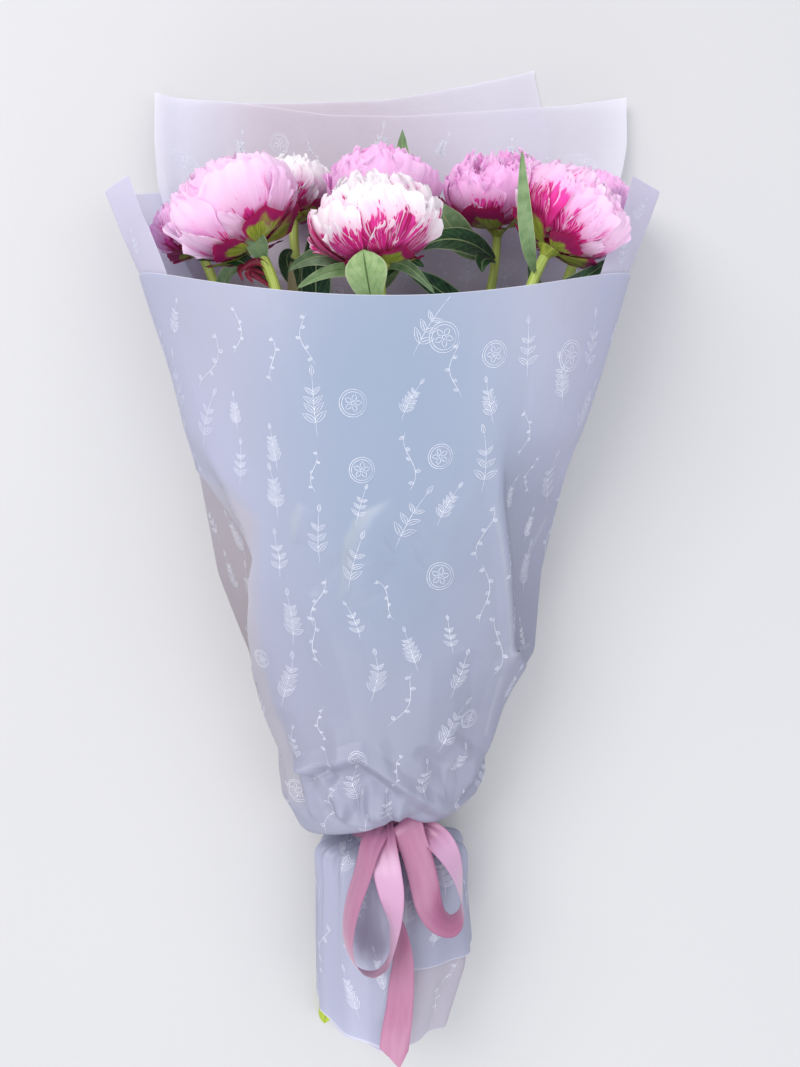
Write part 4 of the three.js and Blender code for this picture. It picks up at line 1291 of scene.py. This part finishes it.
# Petal layers from the outside in: how many, how wide the bowl, where on it they start and
# end, their width, how round and how frilled their tops are, how far they curl outwards, how
# high flames reach, and how unevenly they end.
Layer = namedtuple("Layer", "count swell start end width rounding frill flare reach jitter")
LAYERS = [
    Layer(7, 1.02, 16, 80, 44, 0.42, 0.12, 0.03, 0.7, 18),
    Layer(6, 1.0, 20, 116, 82, 0.16, 0.12, 0.02, 0.62, 12),
    Layer(7, 0.94, 24, 124, 72, 0.16, 0.14, 0.02, 0.55, 12),
    Layer(7, 0.86, 30, 130, 62, 0.18, 0.16, 0.03, 0.5, 12),
    Layer(8, 0.76, 38, 136, 54, 0.2, 0.18, 0.05, 0.4, 14),
    Layer(9, 0.62, 46, 143, 48, 0.2, 0.2, 0.07, 0.35, 14),
]
OUTER_LAYERS = 3
CROWN_PETALS = 20
CROWN_RINGS = (0.06, 0.2, 0.34, 0.46)
CROWN_TURN = 137.5
CROWN_TONE = {"pink": 0.9, "pale": 0.3, "white": 0.0}
PETAL_GRID = (17, 23)
# A petal's share of its full width at its foot, and how fast it widens.
PETAL_FOOT = (0.42, 1.45)
BLOOM_SEED = 100
NOTCHES = 3


def ragged(u, seed, depth):
    """How far a petal's top edge falls short along its width: lobes with narrow notches."""
    fall = depth * (0.5 + 0.5 * ripple(3.1 * u, seed * 3.1) + 0.22 * ripple(9.0 * u, seed * 5.3))
    for k in range(NOTCHES):
        at = math.sin(37 * seed + 2.3 * k + 1)
        sharp = depth * (0.35 + 0.4 * math.sin(19 * seed + 5 * k) ** 2)
        fall = fall + sharp * np.exp(-np.abs((u - 0.85 * at) / 0.09))
    return fall


def creased(u, v, seed):
    """Lengthwise folds and fine ribs of a petal, none at its foot."""
    folds = ripple(2.4 * u + 0.5 * v, seed * 1.7) + 0.5 * ripple(5.5 * u + 0.8 * v, seed * 2.9)
    ribs = np.sin(26 * u + 9 * seed + 2 * np.sin(3 * v + 7 * seed))
    return folds * v ** 0.8 + 0.16 * ribs * smooth_step(0.1, 0.4, v)


def widening(v, foot, speed):
    """A blade's share of its full width, from its foot up."""
    return foot + (1 - foot) * np.sin(np.minimum(1, v * speed) * math.pi / 2)


def round_axis(reach, angle, lift):
    """Points at a distance from a bloom's axis (its own Z), an angle round it and a height."""
    return stack(reach * np.cos(angle), reach * np.sin(angle), lift)


def bowl_rise(radius, beta):
    """The height of the bloom's bowl at an angle from its foot."""
    return radius * BLOOM_HEIGHT_RATIO / 2 * (1 - np.cos(beta))


def bowl_petal(radius, layer, facing, rng, swirl, rough):
    """A petal on the bloom's bowl, in the bloom's own frame."""
    seed = rng.uniform()
    end = layer.end + rng.uniform(-1, 1) * layer.jitter
    width = layer.width * rng.uniform(0.82, 1.12)
    lean = rng.normal(0, 0.018)
    curl = layer.flare + rng.choice([-0.05, 0.02, 0.07])
    u, v = span_grid(*PETAL_GRID)
    taper = 1 - 0.2 * smooth_step(0.75, 1.0, v)
    spread = width * widening(v, *PETAL_FOOT) * taper
    angle = np.radians(facing + spread / 2 * u + 4 * ripple(2 * v, seed))
    fall = 1 - layer.rounding * u * u - rough * ragged(u, seed, layer.frill)
    beta = np.radians(layer.start + (end - layer.start) * v * fall)
    rim = smooth_step(0.72, 1.0, v)
    frill = 0.05 * ripple(5.5 * u, seed * 4.1) + 0.03 * ripple(12 * u, seed * 6.1)
    out = swirl * u + 0.028 * creased(u, v, seed) + lean * v + frill * rim
    out = out + curl * smooth_step(0.6, 1.0, v) ** 2 * (0.4 + u * u)
    reach = np.maximum(radius * (layer.swell * np.sin(beta) + out), 0.02 * radius)
    lift = bowl_rise(radius, beta) + (1 - layer.swell) * radius * 0.35
    return round_axis(reach, angle, lift + radius * 0.05 * rim * ripple(4.0 * u, seed * 2.3))


def crown_petal(radius, facing, ring, rng):
    """A small ruffled petal standing up in the middle of the bloom."""
    seed = rng.uniform()
    height = radius * BLOOM_HEIGHT_RATIO
    u, v = span_grid(*PETAL_GRID)
    angle = np.radians(facing + (26 + 24 * v) * u)
    wave = 0.07 * v * ripple(4 * u + v, seed) + 0.04 * v * v * ripple(9 * u, seed * 2.7)
    reach = radius * (ring + 0.1 * v + wave + 0.05 * smooth_step(0.7, 1, v))
    top = 1.0 + 0.06 * math.sin(9 * seed) - 0.28 * ring
    top = top - 0.8 * ragged(u, seed, 0.1) - 0.08 * u * u
    return round_axis(np.maximum(reach, 0.015 * radius), angle, height * (0.5 + (top - 0.5) * v))


def placement(flower):
    """Rotation, base point and axis that put the bloom's own frame into the bunch."""
    axis = unit(flower.faces)
    base = np.array(flower.centre, float) - axis * flower.radius * BLOOM_HEIGHT_RATIO / 2
    turn = Vector((0, 0, 1)).rotation_difference(Vector(axis))
    return np.array(turn.to_matrix()), base, axis


def build_bloom(flower, number, material):
    rng = np.random.default_rng(BLOOM_SEED + number)
    turn, base, _ = placement(flower)
    parts = Parts()

    def put(points, reach, more_tone=0.0):
        tone = rng.uniform() + more_tone
        parts.add_grid(points @ turn.T + base, seed=rng.uniform(), reach=reach, tone=tone)

    for k, layer in enumerate(LAYERS):
        rough = 1 - flower.smooth if k < OUTER_LAYERS else 1
        swirl = 0.05 if k else 0.015
        for j in range(layer.count):
            facing = flower.spin + 360 * (j + 0.5 * (k % 2)) / layer.count + rng.uniform(-9, 9)
            points = bowl_petal(flower.radius, layer, facing, rng, swirl, rough)
            put(points, flower.flames * (layer.reach + rng.uniform(-0.3, 0.15)))
    for j in range(CROWN_PETALS):
        ring = CROWN_RINGS[j % len(CROWN_RINGS)]
        points = crown_petal(flower.radius, flower.spin + CROWN_TURN * j, ring, rng)
        put(points, flower.flames * rng.uniform(-0.2, 0.5), CROWN_TONE[flower.colour])
    bloom = parts.mesh(flower.name + "_petals", material, "petal_" + flower.colour)
    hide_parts(flower.name + "_bloom")


# Stems, with their calyx, sepals and leaves.

STEM_RADIUS = 3.7
STEM_PITCH = 8.0
STEM_JOINT_Y = -206.0
STEM_FAN = 1.15
STEM_SPREAD = 1.3
STEM_STEPS = (60, 18)
NECK_LENGTH = 24.0
CUT_END_Y = -372.0
CUT_UNEVENNESS = 9.0
CALYX_GAP = 0.4
CALYX_RADIUS = 10.0
CALYX_DEPTH = 8.0
# The calyx cup's outline: radius and height below the bloom.
CALYX_PROFILE = [(STEM_RADIUS, -CALYX_DEPTH), (0.48 * CALYX_RADIUS, -0.7 * CALYX_DEPTH),
                 (0.72 * CALYX_RADIUS, -0.4 * CALYX_DEPTH), (0.9 * CALYX_RADIUS, -CALYX_GAP - 1),
                 (1, -CALYX_GAP)]
# Sepals: the way each faces, where on the bowl it ends, its width, and how red it is.
SEPALS = [(0, 50, 56, 0.08), (72, 42, 54, 0.5), (144, 53, 56, 0.0), (216, 42, 54, 0.25),
          (288, 47, 54, 0.05)]
SEPAL_START = 5
SEPAL_FOOT = (0.4, 1.7)
STEM_SEED = 300
SEPAL_GRID = (13, 13)
LEAF_GRID = (24, 13)
STEM_COLUMNS = 13
CUP_COLUMNS = 25


def sepal_grid(radius, facing, end, width, seed):
    """A sepal outside the bloom's bowl, in the bloom's own frame."""
    u, v = span_grid(*SEPAL_GRID)
    angle = np.radians(facing + width * 1.1 * widening(v, *SEPAL_FOOT) / 2 * u)
    fall = 1 - 0.2 * u * u - 0.12 * (0.5 + 0.5 * ripple(3.4 * u, seed))
    beta = np.radians(SEPAL_START + (end - SEPAL_START) * v * fall)
    out = 1.6 + 2.2 * v + 1.2 * v * ripple(2.5 * u, seed) + 1.6 * v ** 3
    out = out + 0.35 * np.sin(17 * u + 8 * seed) * v + 1.4 * u * u * v
    lift = bowl_rise(radius, beta) - out * np.cos(beta)
    return round_axis((radius + out) * np.sin(beta), angle, lift)


def tube_grid(line, radius):
    """Rings of points round a line, with no twist."""
    tangent = unit(np.gradient(line, axis=0))
    side = unit(np.cross(tangent, np.array([0.0, 0.0, 1.0])))
    other = np.cross(side, tangent)
    a = full_turn(STEM_COLUMNS)[None, :, None]
    ring = side[:, None] * np.cos(a) + other[:, None] * np.sin(a)
    return line[:, None] + ring * radius[:, None, None]


def stem_line(flower, number):
    """The stem from its calyx to its cut end, in the same places as the part's."""
    _, base, axis = placement(flower)
    neck = base - axis * CALYX_DEPTH * 0.7
    column, row = flower.slot
    slot_x = TIE_X + column * STEM_PITCH
    slot_z = BUNDLE_Z + row * STEM_PITCH * math.sin(math.pi / 3)
    foot = np.array([slot_x, STEM_JOINT_Y - STEM_RADIUS, slot_z])
    span = neck - foot
    fan = [foot + span * (d ** STEM_FAN, d, d ** STEM_FAN) for d in (0.58, 0.3, 0.08)]
    below = neck - axis * NECK_LENGTH
    straight = foot + span * 0.93
    upper = catmull([neck, below + (straight - below) * 0.35, *fan, foot], STEM_STEPS[0])
    end = np.array([TIE_X + (slot_x - TIE_X) * STEM_SPREAD,
                    CUT_END_Y + CUT_UNEVENNESS * math.sin(number * 2.1),
                    BUNDLE_Z + (slot_z - BUNDLE_Z) * STEM_SPREAD])
    return np.concatenate([upper, np.linspace(foot, end, STEM_STEPS[1])[1:]])


def leaf_grid(start, leaf, seed):
    """A leaf blade from its place on the stem, folded up along its rib."""
    u, t = span_grid(*LEAF_GRID)
    line = (1 - t) ** 2 * start + 2 * t * (1 - t) * leaf.bend + t ** 2 * leaf.tip
    ahead = unit(np.gradient(line, axis=0))
    side = unit(np.cross(ahead, unit(leaf.face)))
    up = np.cross(side, ahead)
    power = math.log(0.5) / math.log(leaf.peak)
    half = 0.7 + leaf.width / 2 * np.sin(math.pi * t ** power) ** 0.9
    half[-1] = 0.15
    fold = leaf.curl * np.abs(u) ** (1 + 2 * leaf.curl) * half
    fold = fold + 0.5 * ripple(7 * t + 2 * u, seed) * np.abs(u)
    return line[:, None] + side[:, None] * (half * u)[..., None] + up[:, None] * fold[..., None]


def build_stem(flower, number, greens):
    stem_green, leaf_green, sepal_green = greens
    rng = np.random.default_rng(STEM_SEED + number)
    turn, base, _ = placement(flower)
    line = stem_line(flower, number)
    along = run_length(line)
    tube = tube_grid(line, STEM_RADIUS * (1 + 0.08 * np.sin(along / 31 + number)))
    places = stack(np.linspace(0, 1, tube.shape[1]), along[:, None])
    end = tube[-1]
    middle = end.mean(axis=0)
    rings = np.stack([middle + (end - middle) * share for share in (1, 0.6, 0.05)])
    stalk = Parts()
    stalk.add_grid(tube, places=places, cut=0.0)
    stalk.add_grid(rings, cut=np.array([[0.3], [1.0], [0.8]]))
    stem = stalk.mesh(flower.name + "_stalk", stem_green, "stem_green")
    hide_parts(flower.name + "_stem")

    sepals = Parts()
    radius, height = np.array(CALYX_PROFILE).T[:, :, None]
    cup = round_axis(radius, full_turn(CUP_COLUMNS), height)
    sepals.add_grid(cup @ turn.T + base, seed=rng.uniform(), red=0.0)
    for facing, stop, width, red in SEPALS:
        seed = rng.uniform()
        grid = sepal_grid(flower.radius, facing + flower.spin, stop * flower.sepals, width, seed)
        sepals.add_grid(grid @ turn.T + base, seed=seed, red=red)
    sepals.mesh(flower.name + "_sepals", sepal_green, "stem_green")

    leaves = Parts()
    for leaf in flower.leaves:
        start = np.array([np.interp(-leaf.y, -line[:, 1], column) for column in line.T])
        leaves.add_grid(leaf_grid(start, leaf, rng.uniform()), tone=leaf.tone)
    leaves.mesh(flower.name + "_leaves", leaf_green, "stem_green")


def build_flowers():
    petals = {key: petal_material("petal_" + key, *look) for key, look in PETAL_LOOKS.items()}
    greens = (stem_material(), leaf_material(), sepal_material())
    for number, flower in enumerate(FLOWERS):
        build_bloom(flower, number, petals[flower.colour])
        build_stem(flower, number, greens)


BINDING_TURNS = 6
BINDING_STEPS = 60 * BINDING_TURNS + 1
STRAND_HALF_WIDTH = 1.1
STRAND_HALF_DEPTH = 0.45
STRAND_INSET = 0.7
STRAND_COLUMNS = 11


def build_binding():
    """A raffia strand wound round the stems inside the gathered film, its two ends tucked in."""
    half = (binding_high - binding_low) / MM / 2
    turn = np.linspace(0, 2 * math.pi * BINDING_TURNS, BINDING_STEPS)
    c, s = np.cos(turn), np.sin(turn)
    size = (np.abs(c) ** 4 + np.abs(s) ** 4) ** -0.25
    out = stack((half[0] - STRAND_INSET) * size * c, 0.0, (half[2] - STRAND_INSET) * size * s)
    outward = unit(out)
    line = BINDING_MIDDLE + out + outward * (0.12 * ripple(turn / 2, 0.4))[:, None]
    travel = half[1] - STRAND_HALF_WIDTH
    line[:, 1] += np.linspace(-travel, travel, BINDING_STEPS) + 0.35 * ripple(turn / 3, 1.3)
    a = full_turn(STRAND_COLUMNS)[None, :, None]
    taper = np.minimum(1, 0.3 + 12 * np.minimum(turn, turn[-1] - turn) / turn[-1])[:, None, None]
    ring = np.array([0, STRAND_HALF_WIDTH, 0]) * np.cos(a)
    ring = ring + outward[:, None] * STRAND_HALF_DEPTH * np.sin(a)
    places = stack(np.linspace(0, 1, STRAND_COLUMNS), run_length(line)[:, None])
    parts = Parts()
    parts.add_grid(line[:, None] + ring * taper, places=places)
    strand = parts.mesh("stem_binding_raffia", raffia_material(), "binding_raffia")
    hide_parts("stem_binding")


# Studio: floor, lights and camera, in metres.

FLOOR_SIZE = 6.0
FLOOR_Z = -0.0004
WORLD_COLOR = (0.95, 0.96, 1.0, 1)
WORLD_STRENGTH = 0.9
# Each lamp's name, place, width, power and colour.
LAMPS = [
    ("key", (-1.1, 1.0, 1.8), 1.5, 31, (1.0, 0.985, 0.965)),
    ("fill", (1.3, -0.2, 1.7), 1.4, 10, (0.94, 0.97, 1.0)),
    ("foot", (-0.2, -1.6, 1.5), 1.2, 10, (1.0, 1.0, 1.0)),
]


def linked(name, data):
    made = bpy.data.objects.new(name, data)
    bpy.context.scene.collection.objects.link(made)
    return made


def build_studio():
    mesh = bpy.data.meshes.new("studio_floor")
    corners = [(x * FLOOR_SIZE, y * FLOOR_SIZE, FLOOR_Z) for x, y in ((-1, -1), (1, -1), (1, 1), (-1, 1))]
    mesh.from_pydata(corners, [], [(0, 1, 2, 3)])
    mesh.materials.append(floor_material())
    linked("studio_floor", mesh)

    world = bpy.data.worlds.new("studio")
    world.use_nodes = True
    background = world.node_tree.nodes["Background"]
    background.inputs[0].default_value = WORLD_COLOR
    background.inputs[1].default_value = WORLD_STRENGTH
    bpy.context.scene.world = world

    for name, place, width, power, color in LAMPS:
        light = bpy.data.lights.new(name, "AREA")
        light.size = width
        light.energy = power
        light.color = color
        lamp = linked(name, light)
        lamp.location = place
        lamp.rotation_euler = (-Vector(place)).to_track_quat("-Z", "Y").to_euler()
        lamp.visible_camera = False

    camera = linked("camera", bpy.data.cameras.new("camera"))
    camera.data.sensor_width = SENSOR
    camera.data.lens = FOCAL_PIXELS / IMAGE_LONG_SIDE * SENSOR
    camera.data.clip_start = 0.02
    camera.location = (SHIFT[0], SHIFT[1], CAMERA_HEIGHT * MM + SHIFT[2])
    bpy.context.scene.camera = camera
    bpy.context.scene.view_settings.view_transform = "Standard"


build_studio()
build_film()
build_ribbon()
build_flowers()
build_binding()
